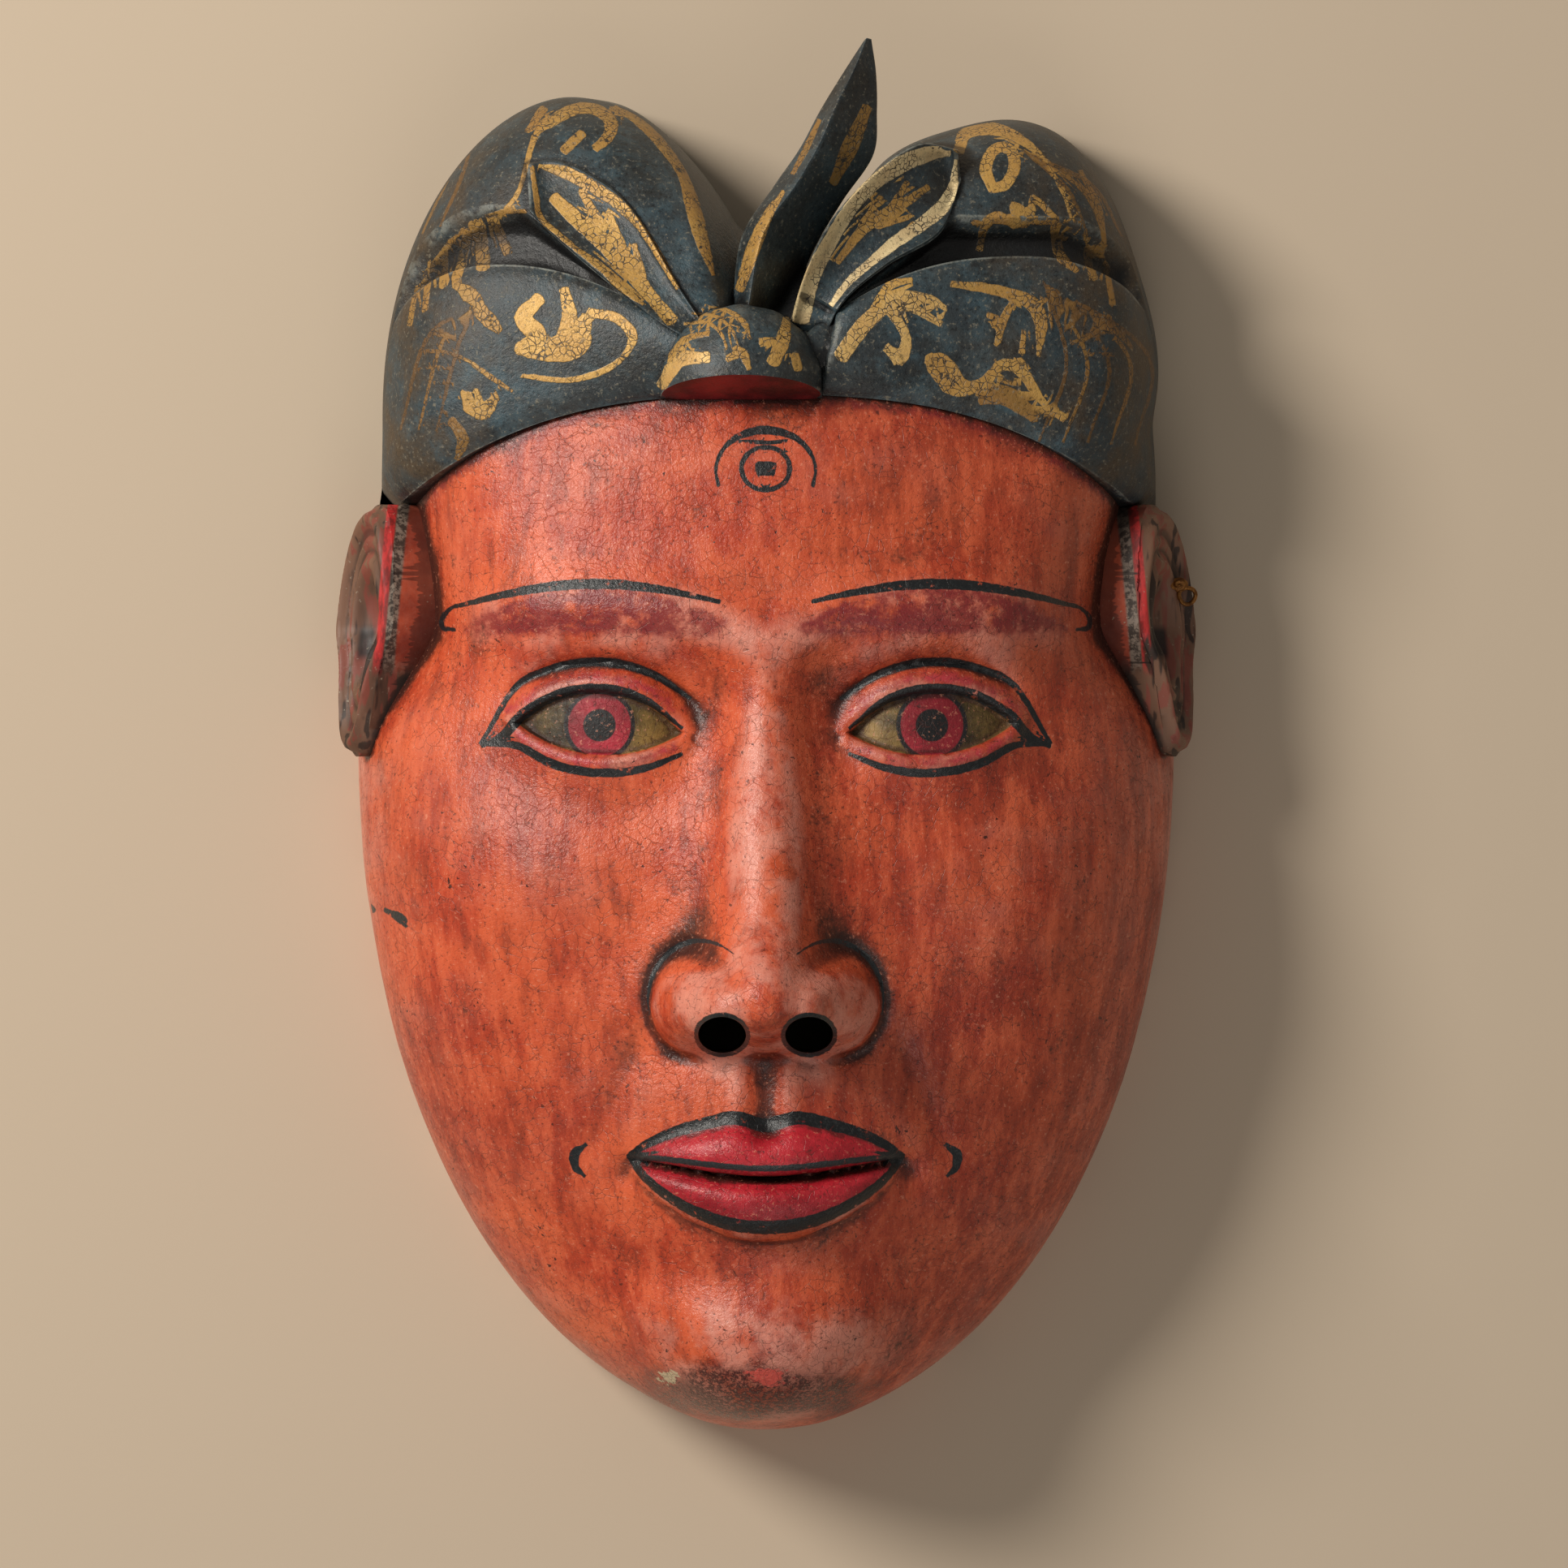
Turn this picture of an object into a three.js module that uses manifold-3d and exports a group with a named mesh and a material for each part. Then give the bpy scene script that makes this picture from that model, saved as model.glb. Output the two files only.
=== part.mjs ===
// A carved and painted wooden dance mask with a knotted headcloth, hollowed out behind.
// Millimetres. X runs to the viewer's right, Y up the face to the crest, Z out of the face.
// The flat back of the carving lies on Z = 0, and the eyes are at Y = 0.
import * as THREE from "three";
import { mergeVertices } from "three/addons/utils/BufferGeometryUtils.js";
import Module from "manifold-3d";

const wasm = await Module();
wasm.setup();

// ---------------------------------------------------------------- driving sizes
const TOTAL_HEIGHT = 253;
const TOTAL_WIDTH = 158;
const FACE_WIDTH = 150;
const CROWN_DEPTH = 60;          // back plane to the bare dome at its highest
const WALL = 10;                 // thickness of the wood round the hollow

// The canon of the face: the head is three and a half thirds high, and five eyes wide.
const TIP_Y = TOTAL_HEIGHT / 2;
const CHIN_Y = -TOTAL_HEIGHT / 2;
const THIRD = TOTAL_HEIGHT / 3.5;
const NOSE_Y = CHIN_Y + THIRD;
const BROW_Y = CHIN_Y + 2 * THIRD;
const EYE_Y = 0;
const MOUTH_Y = NOSE_Y - THIRD / 3;
const EYE_WIDTH = FACE_WIDTH / 5;

// The headcloth.
const EDGE_MIDDLE_Y = 59.8;      // lower edge of the cloth on the forehead
const EDGE_DROP = 19;            // how much lower the edge is at the sides
const EDGE_REACH = 65;           // half width at which it has dropped that much
const LOBE_RELIEF = 5.2;         // how far the lobes stand off the head beneath
const CREST_OVALS = [            // the two lobes and the wrapped head between them
  { x: -33, y: 61.5, halfWidth: 36, halfHeight: 55.5, tilt: 0.035, power: 1.85 },
  { x: 42.7, y: 78.6, halfWidth: 25.3, halfHeight: 34, tilt: 0.32, power: 2.76 },
  { x: 0.5, y: 30, halfWidth: 70.5, halfHeight: 61, tilt: 0, power: 3.6 },
];
const CREST_BLEND = 60;          // sharpness of the joins between the ovals

// Facets.
const HEAD_COLUMNS = 46;
const HEAD_ROWS = 50;
const CLOTH_COLUMNS = 48;
const HOLLOW_STATIONS = 18;

// ---------------------------------------------------------------- small maths
const clamp = (value, low, high) => Math.min(high, Math.max(low, value));
const mix = (from, to, share) => from + (to - from) * share;

function ramp(low, high, value) {
  const t = clamp((value - low) / (high - low), 0, 1);
  return t * t * (3 - 2 * t);
}

function hill(distance, width, power = 2) {
  return Math.exp(-(Math.abs(distance / width) ** power));
}

// The place between low and high where a test stops holding, by halving the interval.
function halved(low, high, holds) {
  let [near, far] = [low, high];
  for (let i = 0; i < 26; i += 1) {
    const middle = (near + far) / 2;
    if (holds(middle)) near = middle;
    else far = middle;
  }
  return near;
}

// Stations from -1 to 1 that crowd round a middle.
function crowdedStations(count, strength, middle, width) {
  const fine = 2000;
  const sums = [0];
  for (let i = 1; i <= fine; i += 1) {
    const place = -1 + (2 * (i - 0.5)) / fine;
    sums.push(sums[i - 1] + 1 + strength * hill(place - middle, width));
  }
  const stations = [];
  let index = 0;
  for (let i = 0; i < count; i += 1) {
    const target = (sums[fine] * i) / (count - 1);
    while (index < fine - 1 && sums[index + 1] < target) index += 1;
    const share = clamp((target - sums[index]) / (sums[index + 1] - sums[index]), 0, 1);
    stations.push(-1 + (2 * (index + share)) / fine);
  }
  return stations;
}

// ---------------------------------------------------------------- outlines
function ovalReach(angle, halfWidth, up, down, power) {
  const across = Math.abs(Math.cos(angle)) / halfWidth;
  const along = Math.abs(Math.sin(angle)) / (Math.sin(angle) > 0 ? up : down);
  return (across ** power + along ** power) ** (-1 / power);
}

// Below 0 inside the joined ovals of the crest, above 0 outside.
function crestRule(x, y) {
  let sum = 0;
  for (const oval of CREST_OVALS) {
    const across = (x - oval.x) * Math.cos(oval.tilt) + (y - oval.y) * Math.sin(oval.tilt);
    const along = (y - oval.y) * Math.cos(oval.tilt) - (x - oval.x) * Math.sin(oval.tilt);
    const size = Math.abs(across / oval.halfWidth) ** oval.power
      + Math.abs(along / oval.halfHeight) ** oval.power;
    sum += Math.exp(-CREST_BLEND * (size ** (1 / oval.power) - 1));
  }
  return -Math.log(sum) / CREST_BLEND;
}

// Distance from the middle to the crest outline.
function crestReach(angle) {
  return halved(60, 150, (reach) => crestRule(reach * Math.cos(angle), reach * Math.sin(angle)) < 0);
}

// Outline of the head under the cloth: the oval of the face, and the crest less the cloth.
function headReach(angle) {
  const face = ovalReach(angle, FACE_WIDTH / 2, TIP_Y, -CHIN_Y, 2.06);
  const upper = ramp(-0.05, 0.35, Math.sin(angle));
  return mix(face, crestReach(angle) - LOBE_RELIEF, upper);
}

// Height of the bare dome over the back plane: full and boxy, steep at the outline.
function domeHeight(x, y, reach) {
  const angle = Math.atan2(y, x);
  const distance = Math.hypot(x, y);
  const outer = distance / reach(angle);
  const inner = distance / ovalReach(angle, 72, 104, -CHIN_Y, 2);
  const fullness = Math.min(1, mix(inner, outer, ramp(0.55, 1, outer)));
  const power = 0.62 - 0.12 * ramp(0.2, 0.7, Math.sin(angle));
  return CROWN_DEPTH * (1 - fullness * fullness) ** (power / 2);
}

// ---------------------------------------------------------------- the face
function eyeRelief(side, y) {
  const across = side - EYE_WIDTH;
  const upperArc = Math.hypot(across, y - EYE_Y + 13.4) - 20;
  const lowerArc = Math.hypot(across, y - EYE_Y - 20.6) - 25.4;
  const opening = Math.max(upperArc, lowerArc);
  const ball = 6.6 * hill(Math.hypot(across / 17, (y - EYE_Y) / 11.5), 1, 3);
  const rims = 1.5 * hill(opening - 1.8, 1.9);
  return ball + rims - 2 * ramp(1, -1.2, opening);
}

function noseRelief(x, side, y) {
  const top = EYE_Y + 10;
  const tip = NOSE_Y + 8;
  const down = clamp((top - y) / (top - tip), 0, 1);
  const length = ramp(NOSE_Y - 5.5, NOSE_Y + 4, y) * ramp(top + 18, top - 6, y);
  const height = (3 + 18 * down ** 1.2) * length;
  const width = 7 + 3.6 * down ** 2;
  const bridge = height * (0.6 * hill(x, width, 2.4) + 0.4 * hill(x, width * 2, 2.2));
  const ball = 6.5 * hill(Math.hypot(x / 9.5, (y - NOSE_Y - 7.5) / 8.5), 1, 2.4);
  const wing = 8.5 * hill(Math.hypot((side - 12.4) / 6.6, (y - NOSE_Y - 4.6) / 7.4), 1, 3);
  return bridge + ball + wing;
}

function lipRelief(side, y) {
  const line = MOUTH_Y + 0.3 - 0.9 * Math.cos((Math.PI * Math.min(side, 24)) / 24);
  const upper = 4.4 * hill(Math.hypot(side / 18, (y - line - 4) / 4.6), 1, 2.8);
  const lower = 5 * hill(Math.hypot(side / 16, (y - line + 5) / 5.2), 1, 2.8);
  const crease = -2.4 * hill(y - line, 1.9) * ramp(26, 16, side);
  return upper + lower + crease;
}

// How far the carved face stands off the bare dome.
function faceRelief(x, y) {
  const side = Math.abs(x);
  const brow = BROW_Y - 1.5 + 3.5 * Math.cos(((side - 30) / 26) * (Math.PI / 2));
  const forehead = 2 * hill(Math.hypot(x / 44, (y - 42) / 26), 1, 2.4);
  const browRidge = 3 * hill(y - brow, 8) * ramp(62, 40, side);
  const temple = -2 * hill(Math.hypot((side - 66) / 14, (y - 20) / 24), 1);
  const socket = -6.5 * hill(Math.hypot((side - EYE_WIDTH + 1) / 21, (y - 1) / 13.5), 1, 2.6);
  const innerCorner = -3 * hill(Math.hypot((side - 13.5) / 6, (y - 3) / 10), 1);
  const cheekbone = 4 * hill(Math.hypot((side - 44) / 21, (y + 27) / 20), 1);
  const cheek = 1.5 * hill(Math.hypot((side - 50) / 22, (y + 62) / 26), 1);
  const muzzle = 7.5 * hill(Math.hypot(x / 29, (y - MOUTH_Y - 2) / 23), 1, 2.3);
  const chin = 13 * hill(Math.hypot(x / 21, (y + 108) / 15), 1, 2.4);
  const chinCrease = -3 * hill(Math.hypot(x / 20, (y + 96.5) / 5), 1);
  const broad = forehead + browRidge + temple + socket + innerCorner + cheekbone + cheek;
  return broad + muzzle + chin + chinCrease + eyeRelief(side, y) + noseRelief(x, side, y)
    + lipRelief(side, y);
}

// ---------------------------------------------------------------- solids from grids
// Turns a list of points and triangles into a solid, outward whichever way it was wound.
function solidFrom(points, triangles) {
  const geometry = new THREE.BufferGeometry();
  geometry.setAttribute("position", new THREE.Float32BufferAttribute(points.flatMap((p) => p.toArray()), 3));
  geometry.setIndex(triangles.flat());
  const merged = mergeVertices(geometry, 1e-4);
  const vertProperties = Float32Array.from(merged.attributes.position.array);
  const triVerts = Uint32Array.from(merged.index.array);
  const place = (corner) => new THREE.Vector3().fromArray(vertProperties, 3 * corner);
  let volume = 0;
  for (let i = 0; i < triVerts.length; i += 3) {
    const [a, b, c] = [place(triVerts[i]), place(triVerts[i + 1]), place(triVerts[i + 2])];
    volume += a.dot(b.cross(c));
  }
  if (volume < 0) triVerts.reverse();
  const kept = [];
  for (let i = 0; i < triVerts.length; i += 3) {
    const [a, b, c] = triVerts.slice(i, i + 3);
    if (a !== b && b !== c && c !== a) kept.push(a, b, c);
  }
  return new wasm.Manifold(new wasm.Mesh({ numProp: 3, vertProperties, triVerts: Uint32Array.from(kept) }));
}

function gridTriangles(rows, columns, closedAround) {
  const triangles = [];
  const lastColumn = closedAround ? columns : columns - 1;
  for (let row = 0; row < rows - 1; row += 1) {
    for (let column = 0; column < lastColumn; column += 1) {
      const next = (column + 1) % columns;
      const [a, b] = [row * columns + column, row * columns + next];
      const [c, d] = [a + columns, b + columns];
      triangles.push([a, b, d], [a, d, c]);
    }
  }
  return triangles;
}

// A sheet of points, rows by columns, with its whole border drawn in to one point behind it.
function sheetSolid(sheet, apex) {
  const rows = sheet.length;
  const columns = sheet[0].length;
  const points = [...sheet.flat(), apex];
  const triangles = gridTriangles(rows, columns, false);
  const border = [];
  for (let i = 0; i < columns; i += 1) border.push(i);
  for (let i = 1; i < rows; i += 1) border.push(i * columns + columns - 1);
  for (let i = columns - 2; i >= 0; i -= 1) border.push((rows - 1) * columns + i);
  for (let i = rows - 2; i > 0; i -= 1) border.push(i * columns);
  border.forEach((corner, i) => {
    triangles.push([border[(i + 1) % border.length], corner, rows * columns]);
  });
  return solidFrom(points, triangles);
}

// Rings of points one after another, closed round, with both ends drawn in to their middles.
function ringSolid(rings) {
  const count = rings[0].length;
  const points = rings.flat();
  const triangles = gridTriangles(rings.length, count, true);
  const middles = [rings[0], rings[rings.length - 1]].map((ring) => {
    const sum = ring.reduce((total, p) => total.add(p), new THREE.Vector3());
    return sum.divideScalar(count);
  });
  const last = (rings.length - 1) * count;
  for (let i = 0; i < count; i += 1) {
    const next = (i + 1) % count;
    triangles.push([next, i, points.length], [last + i, last + next, points.length + 1]);
  }
  return solidFrom([...points, ...middles], triangles);
}

// The square of stations as a disc: angle and share of the way out, with no pole in the middle.
function discPlace(a, b) {
  const across = a * Math.sqrt(1 - (b * b) / 2);
  const along = b * Math.sqrt(1 - (a * a) / 2);
  return { angle: Math.atan2(along, across), share: Math.min(1, Math.hypot(across, along)) };
}

// ---------------------------------------------------------------- head
// Outward direction on the dome: straight out of the face in the middle, sideways at the rim.
function outward(x, y, fullness) {
  const slope = Math.min(1, fullness) ** 3;
  const across = x / 72 ** 2;
  const along = y / 118 ** 2;
  const length = Math.hypot(across, along) || 1;
  const rise = Math.sqrt(1 - slope * slope);
  return new THREE.Vector3((across / length) * slope, (along / length) * slope, rise);
}

function domePoint(x, y, relief, reach) {
  const fullness = Math.hypot(x, y) / reach(Math.atan2(y, x));
  const base = new THREE.Vector3(x, y, domeHeight(x, y, reach));
  return base.addScaledVector(outward(x, y, fullness), relief);
}

// Where on the dome to start, so that the raised point lies at x, y seen from the front.
function footing(x, y, relief, reach) {
  const foot = new THREE.Vector2(x, y);
  for (let i = 0; i < 5; i += 1) {
    const raised = domePoint(foot.x, foot.y, relief, reach);
    foot.x += x - raised.x;
    foot.y += y - raised.y;
  }
  return foot;
}

function makeHead() {
  const across = crowdedStations(HEAD_COLUMNS, 1.4, 0, 0.4);
  const along = crowdedStations(HEAD_ROWS, 1.9, -0.24, 0.36);
  const sheet = along.map((b) => across.map((a) => {
    const { angle, share } = discPlace(a, b);
    const inner = ovalReach(angle, 72, 104, -CHIN_Y, 2);
    const distance = Math.sin((share * Math.PI) / 2) * mix(inner, headReach(angle), ramp(0.5, 1, share));
    const x = distance * Math.cos(angle);
    const y = distance * Math.sin(angle);
    const relief = faceRelief(x, y) * ramp(1, 0.86, share) - 1.5 * gapDepth(x, y);
    const point = domePoint(x, y, relief, headReach);
    if (share > 0.9999) point.z = 0;
    return point;
  }));
  return sheetSolid(sheet, new THREE.Vector3(0, 0, 0));
}

// ---------------------------------------------------------------- headcloth
function clothEdge(x) {
  return EDGE_MIDDLE_Y - EDGE_DROP * Math.abs(x / EDGE_REACH) ** 2.9;
}

// Upper ridge of the rolled band, highest over each temple and low at the knob.
function rollRidge(x) {
  const beyond = Math.max(0, Math.abs(x) - 43.5);
  if (x < -4.4) return 81.8 - 9.7 * (Math.max(0, x + 44) / 26.4) ** 2 - 14.6 * (beyond / 22.6) ** 2.6;
  return 83.4 - 11.9 * (Math.max(0, 43 - x) / 32.6) ** 2.3 - 15 * (beyond / 26) ** 2.2;
}

// Lower ridge of each lobe, and of the leaf inside it: the far bank of the valley over the band.
function foldRidge(x) {
  const ridge = rollRidge(x) + 0.6;
  if (x < -4.4) {
    const bank = Math.min(71.4 - 0.84 * (x + 17), 92.6) - 20 * (Math.max(0, -x - 46) / 21) ** 2.2;
    return Math.max(ridge, bank);
  }
  const bank = Math.min(72 + 0.84 * (x - 10), 90.6) - 18 * (Math.max(0, x - 51) / 18) ** 1.9;
  return Math.max(ridge, bank);
}

// Right-hand margin of the left lobe, and the edge of the right leaf across the middle gap.
const marginLeft = (y) => -9 - 18.3 * clamp((y - 76) / 38.6, 0, 1.3) ** 2.55;
const marginRight = (y) => 5.4 + 21 * clamp((y - 76) / 29.5, 0, 1.3) ** 1.7;

// How far the middle gap is sunk between the two lobes.
function gapDepth(x, y) {
  const fullness = Math.hypot(x, y) / headReach(Math.atan2(y, x));
  const inGap = Math.min(x - marginLeft(y), marginRight(y) - x);
  return 7 * ramp(0, 6, inGap) * ramp(69, 80, y) * ramp(1, 0.88, fullness);
}

function lobeRelief(x, y) {
  const rib = 1.2 * hill(x - marginLeft(y) + 1, 2.6) * ramp(76, 84, y);
  return LOBE_RELIEF + rib - gapDepth(x, y);
}

// Rows of the cloth from its lower lip to the outline: [stretch, share of the stretch].
const ROLL_SHARES = [0, 0.04, 0.14, 0.3, 0.5, 0.72, 0.9, 1];
const VALLEY_SHARES = [0.2, 0.6, 0.92, 1.04];
const LOBE_SHARES = [0.12, 0.26, 0.4, 0.54, 0.67, 0.78, 0.87, 0.94, 0.98, 1];

function makeCloth() {
  const sideX = halved(50, TOTAL_WIDTH / 2, (x) => {
    const y = clothEdge(x);
    return Math.hypot(x, y) < headReach(Math.atan2(y, x));
  });
  const sideAngle = Math.atan2(clothEdge(sideX), sideX);
  const stations = crowdedStations(CLOTH_COLUMNS, 0.5, 0, 0.3);
  const columns = stations.map((a) => {
    const x = sideX * Math.sin((a * Math.PI) / 2);
    const from = new THREE.Vector2(x, clothEdge(x));
    const angle = Math.PI / 2 - a * (Math.PI / 2 - sideAngle);
    const reach = headReach(angle);
    const to = new THREE.Vector2(reach * Math.cos(angle), reach * Math.sin(angle));
    const crossing = (rule) => halved(0, 1, (share) => {
      const place = from.clone().lerp(to, share);
      return place.y < rule(place.x);
    });
    const rollEnd = crossing(rollRidge);
    const ridge = Math.min(rollEnd, 0.9);
    const fold = clamp(crossing(foldRidge), ridge + 0.01, 0.94);
    const valley = ramp(0.6, 5, (fold - ridge) * from.distanceTo(to));
    const point = (share, relief) => {
      const place = from.clone().lerp(to, share);
      return domePoint(place.x, place.y, relief, headReach);
    };
    const lip = point(0.01, -2);
    const tucked = ramp(0.72, 0.95, rollEnd);
    const roll = ROLL_SHARES.map((s) => {
      const relief = 2.8 + 4 * Math.sin(Math.PI * 0.62 * s) + 0.8 * s;
      return point(ridge * s, mix(relief, Math.min(relief, LOBE_RELIEF), tucked));
    });
    const dip = VALLEY_SHARES.map((s, i) => {
      const relief = [1.4, 0.4, 0.8, LOBE_RELIEF][i];
      return point(mix(ridge, fold, s), mix(LOBE_RELIEF, relief, valley));
    });
    const lobe = LOBE_SHARES.map((s) => {
      const share = mix(fold, 1, 1 - (1 - s) ** 1.6);
      const place = from.clone().lerp(to, share);
      return domePoint(place.x, place.y, lobeRelief(place.x, place.y), headReach);
    });
    return [lip, ...roll, ...dip, ...lobe];
  });
  const sheet = columns[0].map((_, row) => columns.map((column) => column[row]));
  sheet[sheet.length - 1].forEach((point) => point.setZ(0));
  return sheetSolid(sheet, new THREE.Vector3(0, 66, 0));
}

// ---------------------------------------------------------------- leaves, knob and horn
const planCurve = (places) => new THREE.SplineCurve(places.map(([x, y]) => new THREE.Vector2(x, y)));

// A raised leaf between a lower and an upper edge: bordered by a rib, hollow along the middle.
// At level 0 it follows the dome, and at level 1 it stands level across from its lower edge.
const LEAVES = [
  {
    lower: planCurve([[-13, 69.5], [-20, 73.6], [-30.5, 82.2], [-38, 88.8], [-42.7, 93.4]]),
    upper: planCurve([[-10.5, 72], [-16, 80.4], [-24.5, 94.6], [-31.5, 100.4], [-38, 103.2], [-43.4, 102.6]]),
    lowerRelief: 7.4,
    upperRelief: 6.2,
    hollow: 1.4,
    level: 0,
  },
  {
    lower: planCurve([[10.5, 69.5], [14, 76.8], [22, 83.6], [31.5, 89.6], [35.4, 99]]),
    upper: planCurve([[3.8, 69.5], [6.2, 79.5], [11.3, 90.9], [19.5, 100.2], [27.5, 105.8], [34.8, 105]]),
    lowerRelief: 8.6,
    upperRelief: 9.4,
    hollow: 2.6,
    level: 1,
  },
];
const LEAF_STATIONS = 12;
const LEAF_ROOT = 15;            // how deep a leaf's sides go into the cloth
const LEVEL_LEAF_ROOT = 28;      // and the sides of a leaf that stands level
const LEAF_SHARES = [0, 0.09, 0.2, 0.4, 0.6, 0.8, 0.91, 1];

function makeLeaf(leaf) {
  const root = mix(LEAF_ROOT, LEVEL_LEAF_ROOT, leaf.level);
  const draped = (place, relief) => {
    const foot = footing(place.x, place.y, relief, headReach);
    return domePoint(foot.x, foot.y, relief, headReach);
  };
  const rowAt = (u) => {
    const low = leaf.lower.getPoint(u);
    const high = leaf.upper.getPoint(u);
    const lowZ = draped(low, leaf.lowerRelief).z;
    const at = (v, sunk) => {
      const place = low.clone().lerp(high, v);
      const border = 0.6 * (hill(v, 0.1) + hill(1 - v, 0.1));
      const cup = leaf.hollow * Math.sin(Math.PI * v) * ramp(0, 0.35, u) * ramp(1.08, 0.8, u);
      const relief = mix(leaf.lowerRelief, leaf.upperRelief, v) + border - cup;
      const level = new THREE.Vector3(place.x, place.y, lowZ + relief - leaf.lowerRelief);
      const point = draped(place, relief).lerp(level, leaf.level);
      return point.setZ(point.z - sunk);
    };
    return [at(0, root), ...LEAF_SHARES.map((v) => at(v, 0)), at(1, root)];
  };
  const sheet = [];
  for (let i = 0; i <= LEAF_STATIONS; i += 1) sheet.push(rowAt(i / LEAF_STATIONS));
  const sink = (row) => row.map((point) => point.clone().setZ(point.z - root));
  const middle = leaf.lower.getPoint(0.6).lerp(leaf.upper.getPoint(0.6), 0.5);
  const apex = domePoint(middle.x, middle.y, -root - 5, headReach);
  return sheetSolid([sink(sheet[0]), ...sheet, sink(sheet[LEAF_STATIONS])], apex);
}

// The knot of the cloth: half a ball with a flat, slanting underside.
const KNOB = { x: -4.4, y: 62, halfWidth: 14.9, height: 14.6, depth: 13 };

function makeKnob() {
  const rows = 12;
  const count = 20;
  const floor = domeHeight(KNOB.x, KNOB.y, headReach) + 2;
  const rings = [];
  for (let row = 1; row < rows; row += 1) {
    const fall = (Math.PI * row) / rows;
    rings.push(Array.from({ length: count }, (_, i) => {
      const turn = (2 * Math.PI * i) / count;
      const x = KNOB.x + KNOB.halfWidth * Math.sin(fall) * Math.cos(turn);
      const y = KNOB.y + KNOB.height * Math.sin(fall) * Math.sin(turn);
      const z = floor + KNOB.depth * Math.cos(fall);
      const underside = KNOB.y - 2.4 + 0.3 * Math.max(0, z - floor);
      return new THREE.Vector3(x, Math.max(y, underside), z);
    }));
  }
  return ringSolid(rings);
}

// The horn: a pointed, three-sided tip of cloth, its ridge turned to the viewer's left.
const HORN = {
  left: planCurve([[-6.6, 74], [-5.2, 88.5], [0.6, 98], [5.4, 104.8], [9.4, 112], [13.8, 119], [17.9, 125.6]]),
  ridge: planCurve([[-3.5, 74], [-0.6, 89], [5.6, 98.5], [9.8, 106], [13, 113.4], [16, 119.8], [18.4, 126]]),
  right: planCurve([[4, 74], [9, 86], [14.5, 95.5], [20.4, 104], [21, 112], [20.6, 119.5], [19.4, 126]]),
  baseZ: 57,
  tipZ: 43,
  backThickness: 17,
};

function makeHorn() {
  const rings = [];
  const steps = 14;
  for (let i = 0; i < steps; i += 1) {
    const u = i / (steps - 1);
    const [left, ridge, right] = [HORN.left, HORN.ridge, HORN.right].map((curve) => curve.getPoint(u));
    const front = mix(HORN.baseZ, HORN.tipZ, u ** 0.8);
    const thickness = HORN.backThickness * (1 - u) ** 0.8 + 0.8;
    const between = (start, end, share, depth) => {
      const place = start.clone().lerp(end, share);
      return new THREE.Vector3(place.x, place.y, front - thickness * depth);
    };
    rings.push([
      between(left, right, 0, 0.5),
      between(left, ridge, 0.5, 0.22),
      between(left, ridge, 1, 0),
      between(ridge, right, 0.28, 0.2),
      between(ridge, right, 0.55, 0.5),
      between(ridge, right, 0.85, 0.7),
      between(ridge, right, 1, 0.85),
      between(left, right, 0.75, 1.05),
      between(left, right, 0.45, 1.1),
      between(left, right, 0.15, 0.85),
    ]);
  }
  return ringSolid(rings);
}

// ---------------------------------------------------------------- ears
const EAR = { x: 69.8, y: 18.5, z: 23, halfWidth: 10.6, up: 22.5, down: 23.5, slant: 0.4, lean: 0.09 };

// Rim, groove, inner fold, bowl and lobe of an ear as it lies against the head.
function earRelief(angle, share) {
  const frontSide = ramp(0.35, 1, -Math.cos(angle));
  const rim = 2.6 * hill(share - 0.86, 0.11) * (1 - frontSide);
  const fold = 1.6 * hill(share - 0.55, 0.13) * (1 - 0.6 * frontSide);
  const bowl = -2.4 * hill(share, 0.42);
  return 3 + rim + fold + bowl;
}

function makeEar(side) {
  const rise = Math.sqrt(1 - EAR.slant ** 2);
  const middle = new THREE.Vector3(side * EAR.x, EAR.y, EAR.z);
  const back = new THREE.Vector3(side * EAR.slant, 0, -rise);
  const out = new THREE.Vector3(side * rise, 0, EAR.slant);
  const stations = crowdedStations(13, 0, 0, 1);
  const sheet = stations.map((b) => stations.map((a) => {
    const { angle, share } = discPlace(a, b);
    const taper = 1 - 0.34 * ramp(0.1, -1, Math.sin(angle));
    const reach = ovalReach(angle, EAR.halfWidth * taper, EAR.up, EAR.down, 2.2);
    const relief = share > 0.99 ? -7 : earRelief(angle, share);
    const flat = Math.min(1, share / 0.96) * reach;
    const height = flat * Math.sin(angle);
    return middle.clone()
      .addScaledVector(back, flat * Math.cos(angle))
      .add(new THREE.Vector3(-side * EAR.lean * height, height, 0))
      .addScaledVector(out, relief);
  }));
  return sheetSolid(sheet, middle.clone().addScaledVector(out, -16));
}

// ---------------------------------------------------------------- hollow and nostrils
const HOLLOW = { halfWidth: FACE_WIDTH / 2 - WALL - 1.5, up: 76, down: 114, depth: CROWN_DEPTH - WALL - 2 };

function makeHollow() {
  const stations = crowdedStations(HOLLOW_STATIONS, 0.3, 0, 0.6);
  const sheet = stations.map((b) => stations.map((a) => {
    const { angle, share } = discPlace(a, b);
    const fullness = Math.sin((share * Math.PI) / 2);
    const reach = ovalReach(angle, HOLLOW.halfWidth, HOLLOW.up, HOLLOW.down, 2.06);
    const x = fullness * reach * Math.cos(angle);
    const y = fullness * reach * Math.sin(angle);
    const nose = 9 * hill(Math.hypot(x / 11, (y - NOSE_Y - 14) / 24), 1);
    const z = HOLLOW.depth * Math.cos((share * Math.PI) / 2) ** 0.62 + nose * (1 - share);
    return new THREE.Vector3(x, y, share > 0.9999 ? -1 : z);
  }));
  return sheetSolid(sheet, new THREE.Vector3(0, 0, -6));
}

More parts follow.
